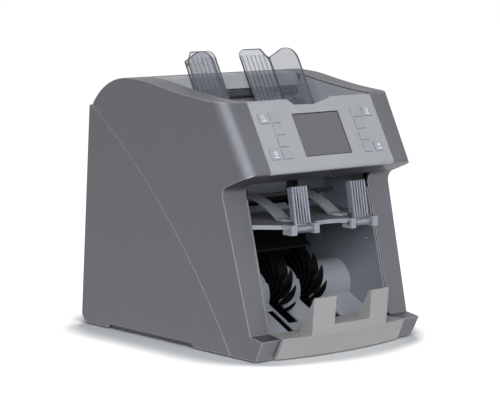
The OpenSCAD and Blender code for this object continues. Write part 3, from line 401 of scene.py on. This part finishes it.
def circuit_board(name):
    """Green coated board with paler copper tracks under the coat."""
    material, tree, shader = new_material(name)
    cells = add(tree, "ShaderNodeTexVoronoi", distance="MANHATTAN")
    feed(tree, cells, Vector=own_place(tree), Scale=160.0)
    tracks = ramp(tree, cells.outputs["Distance"], low=0.42, high=0.46)
    feed(
        tree,
        shader,
        Base_Color=mix_colour(tree, tracks, linear(BOARD_GREEN), linear(TRACK_GREEN)),
        Roughness=0.35,
        Normal=bump(tree, tracks, 0.2, 0.0001),
    )
    return material


# The casing's pale edges are painted highlights along its rounded edges and seams, and the shade in its seams is
# painted.
casing = moulding(
    "casing_grey", CASING_GREY, rough=0.5, wear_and_highlight=0.75, pale=100, dust=0.03, drift=0.015,
    flake=0.9, even=0.85, seam_shade=0.9, reach=0.0018, haze=0.2,
)
# The keys' pale edges are painted highlights.
key_face = moulding("key_grey", KEY_GREY, rough=0.36, depth=0.06, wear_and_highlight=1.0, pale=50)
tray_wall_face = moulding("tray_wall_grey", TRAY_WALL_GREY, rough=0.42)
backing_face = moulding("backing_grey", BACKING_GREY, rough=0.6, wear_and_highlight=0.0)
# Painted shade: the base plate is near black where it shows under the arch.
base_shade_face = moulding("base_black", BASE_SHADE_BLACK, rough=0.5)
panel_face = moulding("panel_grey", PANEL_GREY, rough=0.40, depth=0.08)
bar_face = moulding("bar_grey", BAR_GREY, rough=0.44, depth=0.08)
plate_face = moulding("stack_plate_grey", PLATE_GREY, rough=0.38, depth=0.05, dust=0.2)
liner_face = moulding("liner_grey", LINER_GREY, rough=0.36, depth=0.08)
tray_face = moulding("tray_black", TRAY_BLACK, rough=0.5)
# The wheels' pale blade edges are partly wear and partly painted highlight.
wheel_face = moulding(
    "wheel_black", WHEEL_BLACK, rough=0.5, depth=0.03, wear_and_highlight=0.35, even=0.9, dust=0.0, shine=0.04
)
# The pale edges of the arms and the shelf are painted highlights.
arm_face = moulding("arm_grey", ARM_GREY, rough=0.38, depth=0.05, wear_and_highlight=0.8)
shelf_face = moulding("shelf_grey", SHELF_GREY, rough=0.42, depth=0.08)
ceiling_face = moulding("ceiling_grey", CEILING_GREY, rough=0.45)
chute_face = moulding(
    "chute_black", CHUTE_BLACK, rough=0.6, depth=0.05, wear_and_highlight=0.0, dust=0.0, shine=0.1
)
rubber_face = moulding("roller_rubber", RUBBER_BLACK, rough=0.72, pitch=2400.0, depth=0.2, wear_and_highlight=0.1)
rod_face = moulding("rod_black", ROD_BLACK, rough=0.7, pitch=2600.0, wear_and_highlight=0.0, dust=0.0, shine=0.2)
mark_face = moulding(
    "mark_white", MARK_WHITE, rough=0.5, depth=0.02, wear_and_highlight=0.0, dust=0.0, drift=0.02
)
guide_face = clear_moulding(
    "guide_smoke", GUIDE_SMOKE, rough=0.12, cover=0.33, outline=GUIDE_OUTLINE
)
guide_rim = clear_moulding("guide_rim", GUIDE_RIM, rough=0.15, cover=1.0)
guide_rib = clear_moulding("guide_rib", GUIDE_RIB, rough=0.15, cover=0.55)
stop_face = clear_moulding("stop_smoke", STOP_SMOKE, rough=0.12, cover=0.4, outline=STOP_OUTLINE)
# Painted highlights on the stops' narrow rib faces
stop_rim = clear_moulding("stop_rim", STOP_HIGHLIGHT_PALE, rough=0.2, cover=0.6)
screen_face = display_pane("display_pane")
board_face = circuit_board("board_green")
steel_face = plated_metal("plated_steel", STEEL_GREY, rough=0.36, stretch=(40.0, 1400.0, 1400.0))
shaft_face = plated_metal("turned_steel", SHAFT_GREY, rough=0.26, stretch=(2200.0, 60.0, 60.0))

KEYS = tuple(name for name in nodes if name.startswith("key_"))
COVERS = ("left_side_cover", "right_side_cover", "left_base_cover", "right_base_cover")
GUIDES = ("left_hopper_guide", "right_hopper_guide")
STOPS = ("left_note_stop", "right_note_stop")
ARMS = ("left_hold_arm", "right_hold_arm")
PULLEYS = ("motor_pulley", "stacker_motor_pulley")

FINISHES = (
    (casing, (*COVERS, "rear_panel", "rear_door", "top_rear_cover")),
    (panel_face, ("control_panel", "hopper_back_bar")),
    (key_face, KEYS),
    (bar_face, ("front_bar",)),
    (arm_face, (*ARMS, "reject_shelf")),
    (ceiling_face, ("pocket_ceiling",)),
    (rod_face, ("cross_rods",)),
    (guide_face, GUIDES),
    (stop_face, STOPS),
    (wheel_face, ("stacker_wheels", "door_note_guide", "diverter_gate")),
    (liner_face, ("pocket_liners", "reject_back", "transport_drum")),
    (tray_face, ("hopper_tray", "image_sensors", "door_latch", "inlet_module", "power_rocker")),
    (rubber_face, ("rubber_feet", "pickup_roller", "feed_roller", "retard_roller", "drive_belts")),
    (steel_face, ("left_side_frame", "right_side_frame", "power_supply")),
    (base_shade_face, ("base_plate",)),
    (shaft_face, (*PULLEYS, "hinge_pins", "drive_motors", "gate_solenoid")),
    (board_face, ("panel_board", "main_board")),
    (screen_face, ("display_window",)),
    (plate_face, ("stacker_plate",)),
)
finish_of = {name: finish for finish, names in FINISHES for name in names}

for name, part in nodes.items():
    part.data.materials.clear()
    part.data.materials.append(finish_of[name])


# Pieces


def placed(name, content):
    """A new object in the scene, with the mesh, lamp or camera that it holds."""
    part = bpy.data.objects.new(name, content)
    bpy.context.collection.objects.link(part)
    return part


def worked(name, shape):
    """The mesh of a finished shape, with its faces turned outward."""
    bmesh.ops.recalc_face_normals(shape, faces=shape.faces)
    mesh = bpy.data.meshes.new(name)
    shape.to_mesh(mesh)
    shape.free()
    return mesh


def baked(part):
    """The part with its modifiers worked into a plain mesh."""
    shown = part.evaluated_get(bpy.context.evaluated_depsgraph_get())
    mesh = bpy.data.meshes.new_from_object(shown)
    part.modifiers.clear()
    part.data = mesh
    return part


def settle(part, body):
    """Hands a finished piece to the body it moves with."""
    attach(part, body)
    return part


def new_piece(name, shape, finish, carrier):
    """A plain piece from a worked shape, riding with the CAD piece that carries it."""
    mesh = worked(name, shape)
    mesh.materials.append(finish)
    return settle(placed(name, mesh), body_of[carrier])


# Softened mouldings


def soften(name, width_mm, steps=2, smooth=True):
    """A copy of a CAD piece with its sharp edges rounded, shown in the CAD piece's place."""
    mesh = nodes[name].data.copy()
    shape = bmesh.new()
    shape.from_mesh(mesh)
    bmesh.ops.remove_doubles(shape, verts=shape.verts, dist=WELD)
    bmesh.ops.dissolve_limit(
        shape,
        angle_limit=FLAT_ANGLE,
        use_dissolve_boundaries=False,
        verts=shape.verts,
        edges=shape.edges,
    )
    shape.to_mesh(mesh)
    shape.free()
    if smooth:
        mesh.shade_smooth()
        mesh.set_sharp_from_angle(angle=SMOOTH_ANGLE)
    part = placed(name + "_skin", mesh)
    rounding = part.modifiers.new("rounding", "BEVEL")
    rounding.width = width_mm * MM
    rounding.segments = steps
    rounding.limit_method = "ANGLE"
    rounding.angle_limit = SMOOTH_ANGLE
    rounding.miter_outer = "MITER_ARC"
    rounding.harden_normals = smooth
    settle(baked(part), body_of[name])
    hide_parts(name)
    return part


def refinish(part, finish, chosen):
    """Gives the faces of a piece that the rule picks a finish of their own."""
    part.data.materials.append(finish)
    index = len(part.data.materials) - 1
    for face in part.data.polygons:
        if chosen(part.data, face):
            face.material_index = index


def face_width(mesh, face):
    """Area over longest edge, in millimetres: the width of a strip."""
    ends = [mesh.vertices[index].co for index in face.vertices]
    longest = max((first - second).length for first, second in zip(ends, ends[1:] + ends[:1]))
    return face.area / max(longest, WELD) / MM


# Rounding of the edges, in millimetres
COVER_EDGE, SHEET_EDGE, BAR_EDGE, MOULDING_EDGE = 1.4, 0.8, 1.2, 0.5
GUIDE_EDGE, STOP_EDGE, LINER_EDGE = 0.35, 0.3, 0.3

# Facets across a finer rounding
FINE_STEPS = 3

for name in COVERS:
    soften(name, COVER_EDGE, FINE_STEPS)
for name in ("rear_panel", "rear_door", "top_rear_cover", "hopper_back_bar"):
    soften(name, SHEET_EDGE)
soften("front_bar", BAR_EDGE, FINE_STEPS)
soften("stacker_plate", MOULDING_EDGE)
for name in ARMS:
    soften(name, MOULDING_EDGE)
for name in KEYS:
    soften(name, MOULDING_EDGE, FINE_STEPS)

# Widths of the faces that show as rims and ribs, and height of a stop's foot, in millimetres
GUIDE_RIM_WIDEST = 2.7
RIB_NARROWEST, RIB_WIDEST = 0.65, 1.45
STOP_RIM_WIDEST = 1.3
STOP_FOOT = 12

for name in GUIDES:
    guide = soften(name, GUIDE_EDGE, smooth=False)
    refinish(guide, guide_rim, lambda mesh, face: face_width(mesh, face) < GUIDE_RIM_WIDEST)
    refinish(
        guide,
        guide_rib,
        lambda mesh, face: RIB_NARROWEST < face_width(mesh, face) < RIB_WIDEST,
    )
# The narrow faces of each stop's blade, above its foot, get painted highlights.
for name in STOPS:
    stop = soften(name, STOP_EDGE, smooth=False)
    blade_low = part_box(name)[0].z + STOP_FOOT * MM
    refinish(
        stop,
        stop_rim,
        lambda mesh, face: face_width(mesh, face) < STOP_RIM_WIDEST and face.center.z > blade_low,
    )

# Shares of a face's normal beyond which the face counts as looking that way
LOOKS_UP, LOOKS_SIDEWAYS, LOOKS_FORWARD = 0.7, 0.9, -0.5

shelf = soften("reject_shelf", BAR_EDGE, FINE_STEPS)
refinish(shelf, shelf_face, lambda mesh, face: face.normal.z > LOOKS_UP)

tray = soften("hopper_tray", MOULDING_EDGE)
refinish(tray, tray_wall_face, lambda mesh, face: abs(face.normal.x) > LOOKS_SIDEWAYS)

# The liners are black between their side walls, and their front edges are painted as the casing is
LINER_THICK, LINER_FRONT = 3, -90

liners = soften("pocket_liners", LINER_EDGE)
liner_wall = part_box("pocket_liners")[1].x - LINER_THICK * MM
refinish(liners, chute_face, lambda mesh, face: abs(face.center.x) < liner_wall)
refinish(
    liners,
    casing,
    lambda mesh, face: face.normal.y < LOOKS_FORWARD and face.center.y < LINER_FRONT * MM,
)

soften("control_panel", MOULDING_EDGE)


# Painted shade round the screen, and the plate behind the rail of the guides, in millimetres

RECESS_SHADE_WIDE, RECESS_SHADE_THICK = 0.8, 0.05
BACKING_DROP, BACKING_THICK = 20, 1.5
OWN_AXES = Vector((1, 0, 0)), Vector((0, 1, 0)), Vector((0, 0, 1))
BLOCK_FACES = (3, 2, 1, 0), (4, 5, 6, 7), (0, 1, 5, 4), (1, 2, 6, 5), (2, 3, 7, 6), (3, 0, 4, 7)


def add_block(shape, low, high, axes=OWN_AXES):
    """Adds a block between two corners, given along three axes."""
    around = ((low[0], low[1]), (high[0], low[1]), (high[0], high[1]), (low[0], high[1]))
    corners = [
        shape.verts.new(axes[0] * x + axes[1] * y + axes[2] * z)
        for z in (low[2], high[2]) for x, y in around
    ]
    for picks in BLOCK_FACES:
        shape.faces.new([corners[index] for index in picks])


def screen_border():
    """A black band on the display window along its four edges: painted shade of the recess round the screen."""
    low, high = panel_box("display_window")
    wide, under, out = RECESS_SHADE_WIDE * MM, high.z - RECESS_SHADE_THICK * MM, high.z + RECESS_SHADE_THICK * MM
    shape = bmesh.new()
    for y in (low.y, high.y - wide):
        add_block(shape, (low.x, y, under), (high.x, y + wide, out), PANEL_AXES)
    for x in (low.x, high.x - wide):
        add_block(shape, (x, low.y + wide, under), (x + wide, high.y - wide, out), PANEL_AXES)
    new_piece("screen_border", shape, chute_face, "display_window")


def rail_backing():
    """A plate across the rear edges of the tray's side walls, up to the light bar."""
    tray_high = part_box("hopper_tray")[1]
    bar_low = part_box("hopper_back_bar")[0]
    low = -tray_high.x, tray_high.y, bar_low.z - BACKING_DROP * MM
    high = tray_high.x, tray_high.y + BACKING_THICK * MM, bar_low.z
    shape = bmesh.new()
    add_block(shape, low, high)
    new_piece("rail_backing", shape, backing_face, "hopper_tray")


screen_border()
rail_backing()


# Marks on the outer keys, in millimetres from the middle of the key's top

TOP_DEPTH = 0.05
MARK_SUNK, MARK_THICK = 0.02, 0.06
RING_RADIUS, RING_WIDTH, RING_RISE = 2.6, 0.8, 1.3
RING_STEPS = 18


def key_top(name):
    """Middle of a key's top face."""
    corners = [vertex.co for vertex in nodes[name].data.vertices]
    top = max(corner.dot(PANEL_OUT) for corner in corners)
    face = [corner for corner in corners if top - corner.dot(PANEL_OUT) < TOP_DEPTH * MM]
    across = [corner.dot(PANEL_RIGHT) for corner in face]
    up = [corner.dot(PANEL_UP) for corner in face]
    middle = (min(across) + max(across)) / 2, (min(up) + max(up)) / 2
    return PANEL_RIGHT * middle[0] + PANEL_UP * middle[1] + PANEL_OUT * top


def open_ring(start, sweep):
    """Outline of a ring with a gap in it, from a start and over a sweep in degrees."""
    turns = [math.radians(start + sweep * i / RING_STEPS) for i in range(RING_STEPS + 1)]
    rims = [(RING_RADIUS, turn) for turn in turns]
    rims += [(RING_RADIUS - RING_WIDTH, turn) for turn in reversed(turns)]
    return [(r * math.cos(turn), RING_RISE + r * math.sin(turn)) for r, turn in rims]


def bar_outline(x, y, width, height):
    """Outline of an upright rectangle around a middle."""
    left, right, low, high = x - width / 2, x + width / 2, y - height / 2, y + height / 2
    return [(left, low), (right, low), (right, high), (left, high)]


def key_mark(name, *outlines):
    """A printed sign of flat outlines on a key."""
    seat = key_top(name) - PANEL_OUT * MARK_SUNK * MM
    shape = bmesh.new()
    for outline in outlines:
        corners = [
            shape.verts.new(seat + (PANEL_RIGHT * x + PANEL_UP * y) * MM) for x, y in outline
        ]
        lifted = bmesh.ops.extrude_face_region(shape, geom=[shape.faces.new(corners)])
        raised = [item for item in lifted["geom"] if isinstance(item, bmesh.types.BMVert)]
        bmesh.ops.translate(shape, verts=raised, vec=PANEL_OUT * MARK_THICK * MM)
    new_piece(name + "_mark", shape, mark_face, name)


LABEL_BAR = bar_outline(0, -3.5, 6.4, 1.0)
POWER_BAR = bar_outline(0, 3.4, 0.8, 2.6)
START_ARROW = [(-1.7, -0.9), (2.4, 1.4), (-1.7, 3.7)]
key_mark("key_left_top", open_ring(60, 290), LABEL_BAR)
key_mark("key_left_bottom", open_ring(120, 300), POWER_BAR, LABEL_BAR)
key_mark("key_right_top", open_ring(200, 290), LABEL_BAR)
key_mark("key_right_bottom", START_ARROW, LABEL_BAR)


# Layouts of what repeats


def skin_of(piece):
    """A CAD piece's faces, ready to be met by a line."""
    mesh = nodes[piece].data
    places = [vertex.co for vertex in mesh.vertices]
    return BVHTree.FromPolygons(places, [face.vertices for face in mesh.polygons])


def seat_points(name, places):
    """A new object of loose points."""
    mesh = bpy.data.meshes.new(name)
    mesh.from_pydata(places, [], [])
    return placed(name, mesh)


def new_layout(name, inputs, result):
    """An empty geometry tree with one output; returns the tree and its input sockets by name."""
    tree = bpy.data.node_groups.new(name, "GeometryNodeTree")
    for label, kind in inputs.items():
        tree.interface.new_socket(label, in_out="INPUT", socket_type="NodeSocket" + kind)
    tree.interface.new_socket(result, in_out="OUTPUT", socket_type="NodeSocketGeometry")
    return tree, add(tree, "NodeGroupInput").outputs


def end_layout(tree, instances, finish, result):
    """Makes the instances one plain mesh with a finish, and puts it out."""
    solid = feed(tree, add(tree, "GeometryNodeRealizeInstances"), Geometry=instances)
    dressed = add(tree, "GeometryNodeSetMaterial")
    feed(tree, dressed, Geometry=solid.outputs["Geometry"], Material=finish)
    feed(tree, add(tree, "NodeGroupOutput"), **{result: dressed.outputs["Geometry"]})
    return tree


def lay_out(part, tree, **values):
    """Runs a layout on a part's points and keeps its plain mesh."""
    layout = part.modifiers.new("layout", "NODES")
    layout.node_group = tree
    sockets = {item.name: item.identifier for item in tree.interface.items_tree}
    for label, value in values.items():
        layout[sockets[label]] = value
    return baked(part)


# Screws: piece, start of the driver, way it points and radius of the head, in millimetres
SCREWS = [("rear_panel", (x, 300, z), TO_FRONT, 2.8) for x in (-98, 98) for z in (12, 54)]
SCREWS += [("rear_panel", (x, 300, 34), TO_FRONT, 1.9) for x in (-4, 76)]
SCREWS += [("base_plate", (x, y, -50), UP, 3.0) for x in (-90, 90) for y in (-110, 15, 135)]
SCREWS += [("pocket_liners", (0, -104, 120.5), TO_RIGHT, 1.1)]
SCREWS += [("pocket_liners", (0, -40, 165.5), TO_RIGHT, 1.3)]
SCREWS += [("pocket_ceiling", (26, -115, 150), UP, 1.2)]
SCREW_SEED = 7

# Sockets of a random value node that draws plain numbers: its highest value and its result
RANDOM_HIGHEST, RANDOM_RESULT = 3, 1

# Outline of a head from its seat to its top, and its cross recess, for a head of 1 mm radius
HEAD_STEPS = 20
HEAD_RINGS = (1.0, -0.1), (1.0, 0.22), (0.88, 0.44), (0.64, 0.54)
RECESS_ARM, RECESS_HALF, RECESS_FLOOR = 0.5, 0.11, 0.2


def screw_head():
    """A pan head of 1 mm radius with a cross recess, on the origin and facing up."""
    shape = bmesh.new()
    turns = [2 * math.pi * i / HEAD_STEPS for i in range(HEAD_STEPS)]
    ways = [(math.cos(turn), math.sin(turn)) for turn in turns]
    rings = [
        [shape.verts.new((r * x * MM, r * y * MM, z * MM)) for x, y in ways] for r, z in HEAD_RINGS
    ]
    for low, high in zip(rings, rings[1:]):
        for i in range(HEAD_STEPS):
            shape.faces.new((low[i - 1], low[i], high[i], high[i - 1]))
    quarter = [(RECESS_ARM, -RECESS_HALF), (RECESS_ARM, RECESS_HALF), (RECESS_HALF, RECESS_HALF)]
    cross = [
        (x * math.cos(turn) - y * math.sin(turn), x * math.sin(turn) + y * math.cos(turn))
        for turn in (0, math.pi / 2, math.pi, 1.5 * math.pi) for x, y in quarter
    ]
    heights = HEAD_RINGS[-1][1], RECESS_FLOOR
    mouth, floor = (
        [shape.verts.new((x * MM, y * MM, z * MM)) for x, y in cross] for z in heights
    )
    for i in range(len(cross)):
        shape.faces.new((mouth[i - 1], mouth[i], floor[i], floor[i - 1]))
    shape.faces.new(floor)
    shape.faces.new(list(reversed(rings[0])))
    top = [edge for edge in shape.edges if edge.is_boundary]
    bmesh.ops.triangle_fill(shape, edges=top, use_beauty=True, normal=UP)
    return bpy.data.objects.new("screw_head", worked("screw_head", shape))


def screw_layout():
    """Geometry nodes that set a head on each point, with its facing and size and a random turn."""
    inputs = {"Seats": "Geometry", "Head": "Object", "Finish": "Material", "Seed": "Int"}
    tree, given = new_layout("screw_layout", inputs, "Screws")
    head = feed(tree, add(tree, "GeometryNodeObjectInfo"), Object=given["Head"])
    facing = add(tree, "GeometryNodeInputNamedAttribute", data_type="FLOAT_VECTOR")
    size = add(tree, "GeometryNodeInputNamedAttribute", data_type="FLOAT")
    stand = add(tree, "FunctionNodeAlignRotationToVector", axis="Z")
    turn = add(tree, "FunctionNodeRandomValue", data_type="FLOAT")
    twist = add(tree, "FunctionNodeAxisAngleToRotation")
    drive = add(tree, "FunctionNodeRotateRotation", rotation_space="LOCAL")
    place = add(tree, "GeometryNodeInstanceOnPoints")
    feed(tree, facing, Name="facing")
    feed(tree, size, Name="size")
    feed(tree, stand, Vector=facing.outputs["Attribute"])
    turn.inputs[RANDOM_HIGHEST].default_value = 2 * math.pi
    feed(tree, turn, Seed=given["Seed"])
    feed(tree, twist, Angle=turn.outputs[RANDOM_RESULT])
    feed(tree, drive, Rotation=stand.outputs["Rotation"], Rotate_By=twist.outputs["Rotation"])
    feed(tree, place, Points=given["Seats"], Instance=head.outputs["Geometry"])
    feed(tree, place, Rotation=drive.outputs["Rotation"], Scale=size.outputs["Attribute"])
    return end_layout(tree, place.outputs["Instances"], given["Finish"], "Screws")


def drive_screws(name, carrier):
    """One mesh of all the screws, each seated where its driver meets its piece."""
    seats = [
        skin_of(piece).ray_cast(Vector(start) * MM, way)[:2] for piece, start, way, _ in SCREWS
    ]
    part = seat_points(name, [place for place, _ in seats])
    facings = part.data.attributes.new("facing", "FLOAT_VECTOR", "POINT")
    facings.data.foreach_set("vector", [value for _, facing in seats for value in facing])
    sizes = part.data.attributes.new("size", "FLOAT", "POINT")
    sizes.data.foreach_set("value", [radius for _, _, _, radius in SCREWS])
    head = screw_head()
    lay_out(part, screw_layout(), Head=head, Finish=shaft_face, Seed=SCREW_SEED)
    bpy.data.objects.remove(head)
    settle(part, body_of[carrier])


drive_screws("casing_screws", "base_plate")

# Ridges down the stack plate, in millimetres
RIDGE_PITCH, RIDGE_HALF, RIDGE_CREST, RIDGE_RISE, RIDGE_SUNK = 6.0, 0.55, 0.33, 0.4, 0.1
RIDGE_END = 3.0

# Room beside a ridge, and height from which lines down to the plate try it, in millimetres
RIDGE_CLEAR, TRY_HEIGHT = 1.65, 1000
RIDGE_TRIES = 12

# Shares of a face's normal that make it part of the plate's slope
SLOPE_UP, SLOPE_FORWARD = 0.8, -0.3


def ridge_bar():
    """One low rounded ridge, 1 m long along Y and centred on the origin."""
    outline = [(-RIDGE_HALF, -RIDGE_SUNK), (-RIDGE_CREST, RIDGE_RISE)]
    outline += [(-x, z) for x, z in reversed(outline)]
    shape = bmesh.new()
    near, far = ([shape.verts.new((x * MM, y, z * MM)) for x, z in outline] for y in (-0.5, 0.5))
    shape.faces.new(near)
    shape.faces.new(far[::-1])
    for i in range(len(outline)):
        shape.faces.new((near[i - 1], far[i - 1], far[i], near[i]))
    return bpy.data.objects.new("ridge_bar", worked("ridge_bar", shape))


def ridge_layout():
    """Geometry nodes that lay a ridge on each point, tilted to the plate and stretched to length."""
    inputs = {
        "Seats": "Geometry",
        "Ridge": "Object",
        "Finish": "Material",
        "Tilt": "Float",
        "Length": "Float",
    }
    tree, given = new_layout("ridge_layout", inputs, "Ridges")
    ridge = feed(tree, add(tree, "GeometryNodeObjectInfo"), Object=given["Ridge"])
    lean = feed(tree, add(tree, "ShaderNodeCombineXYZ"), X=given["Tilt"])
    stretch = feed(tree, add(tree, "ShaderNodeCombineXYZ"), X=1.0, Y=given["Length"], Z=1.0)
    place = add(tree, "GeometryNodeInstanceOnPoints")
    feed(tree, place, Points=given["Seats"], Instance=ridge.outputs["Geometry"])
    feed(tree, place, Rotation=lean.outputs["Vector"], Scale=stretch.outputs["Vector"])
    return end_layout(tree, place.outputs["Instances"], given["Finish"], "Ridges")


def lay_ridges(name, plate):
    """Ridges down the plate's slope, wherever its whole length is free of slots."""
    mesh = nodes[plate].data
    slope = [
        face for face in mesh.polygons if face.normal.z > SLOPE_UP and face.normal.y < SLOPE_FORWARD
    ]
    widest = max(slope, key=lambda face: face.area)
    upright = widest.normal.copy()
    level = [face for face in slope if abs((face.center - widest.center).dot(upright)) < SAME_PLANE]
    corners = [mesh.vertices[i].co for face in level for i in face.vertices]
    front, back = (pick(corner.y for corner in corners) for pick in (min, max))
    left, right = (pick(corner.x for corner in corners) for pick in (min, max))
    low, high = front + RIDGE_END * MM, back - RIDGE_END * MM
    tries = [low + (high - low) * i / RIDGE_TRIES for i in range(RIDGE_TRIES + 1)]
    skin = skin_of(plate)
    count = int((right - left) / (RIDGE_PITCH * MM))
    seats = []
    for i in range(1, count):
        x = left + (right - left) * i / count
        beside, middle, beyond = (
            [skin.ray_cast(Vector((x + side * MM, y, TRY_HEIGHT * MM)), -UP)[:2] for y in tries]
            for side in (-RIDGE_CLEAR, 0, RIDGE_CLEAR)
        )
        met = [facing for _, facing in beside + middle + beyond]
        if all(facing is not None and facing.dot(upright) > SAME_WAY for facing in met):
            seats.append((middle[0][0] + middle[-1][0]) / 2)
    part = seat_points(name, seats)
    bar = ridge_bar()
    tilt = math.atan2(-upright.y, upright.z)
    length = (high - low) / math.cos(tilt)
    lay_out(part, ridge_layout(), Ridge=bar, Finish=plate_face, Tilt=tilt, Length=length)
    bpy.data.objects.remove(bar)
    settle(part, body_of[plate])


lay_ridges("plate_ridges", "stacker_plate")


# Studio

CAMERA_PLACE = Vector((-1.63278, -1.88182, 0.48370))
CAMERA_WAY = Vector((0.6494, 0.7499, -0.1265))
FOCAL_PIXELS = 2019.8
PHOTO_WIDTH = 500
SENSOR_MM = 36.0

# Place, point it is aimed at, width and height in metres, power in watts and tint of each lamp
LAMPS = {
    "overhead": ((0.1, -0.2, 2.2), (0, 0, 0.15), 1.8, 1.8, 5, (1, 1, 1)),
    "front_right": ((1.65, -1.5, 1.2), (0, -0.1, 0.2), 1.6, 1.6, 7, (0.95, 0.97, 1)),
    "corner_strip": ((-1.35, -1.95, 1.2), (-0.1, -0.1, 0.25), 2.7, 1.6, 72, (0.93, 0.97, 1)),
}
AMBIENT = 0.04
FLOOR_HALF = 8.0
FLOOR_BOUNCE = 0.8
SHADOW_REACH = 0.1
SHADOW_DEEPEST = 0.62


def turned_to(item, place, way):
    """Sets a lamp or the camera in its place, looking along a way."""
    item.location = place
    item.rotation_mode = "QUATERNION"
    item.rotation_quaternion = way.to_track_quat("-Z", "Y")
    return item


def studio_camera():
    lens = bpy.data.cameras.new("camera")
    lens.sensor_width = SENSOR_MM
    lens.lens = SENSOR_MM * FOCAL_PIXELS / PHOTO_WIDTH
    bpy.context.scene.camera = turned_to(placed("camera", lens), CAMERA_PLACE, CAMERA_WAY)


def softbox(name, place, aim, width, height, power, tint):
    lamp = bpy.data.lights.new(name, "AREA")
    lamp.color = tint
    lamp.shape = "RECTANGLE"
    lamp.size = width
    lamp.size_y = height
    lamp.energy = power
    turned_to(placed(name, lamp), place, Vector(aim) - Vector(place))


def seen_directly(tree):
    """Masks of the rays that show a surface itself, and of those that come by gloss or glass."""
    path = add(tree, "ShaderNodeLightPath").outputs
    mirrored = math_node(tree, "MAXIMUM", path["Is Glossy Ray"], path["Is Transmission Ray"])
    return math_node(tree, "MAXIMUM", path["Is Camera Ray"], mirrored), mirrored


def studio_world():
    """White where it is seen, and a faint light from all around."""
    world = bpy.data.worlds.new("studio")
    world.use_nodes = True
    tree = world.node_tree
    shown, _ = seen_directly(tree)
    light = between(tree, shown, AMBIENT, 1.0)
    feed(tree, tree.nodes["Background"], Color=(1, 1, 1, 1), Strength=light)
    bpy.context.scene.world = world


def studio_floor():
    """White to the eye, dimmer as a source of light, with a soft shadow close to the object."""
    half = FLOOR_HALF
    corners = [(-half, -half, 0), (half, -half, 0), (half, half, 0), (-half, half, 0)]
    mesh = bpy.data.meshes.new("floor")
    mesh.from_pydata(corners, [], [(0, 1, 2, 3)])
    material, tree, shader = new_material("floor_white")
    nearness = add(tree, "ShaderNodeAmbientOcclusion", samples=16)
    feed(tree, nearness, Distance=SHADOW_REACH)
    open_share = ramp(tree, nearness.outputs["AO"], SHADOW_DEEPEST, 1.0)
    shown, mirrored = seen_directly(tree)
    glow = math_node(tree, "MULTIPLY", shown, math_node(tree, "MAXIMUM", open_share, mirrored))
    feed(
        tree,
        shader,
        Base_Color=(FLOOR_BOUNCE, FLOOR_BOUNCE, FLOOR_BOUNCE, 1),
        Roughness=0.9,
        Specular_IOR_Level=0.0,
        Emission_Color=(1, 1, 1, 1),
        Emission_Strength=glow,
    )
    mesh.materials.append(material)
    floor = placed("floor", mesh)


studio_camera()
for lamp_name, setting in LAMPS.items():
    softbox(lamp_name, *setting)
studio_world()
studio_floor()
bpy.context.scene.view_settings.view_transform = "Standard"
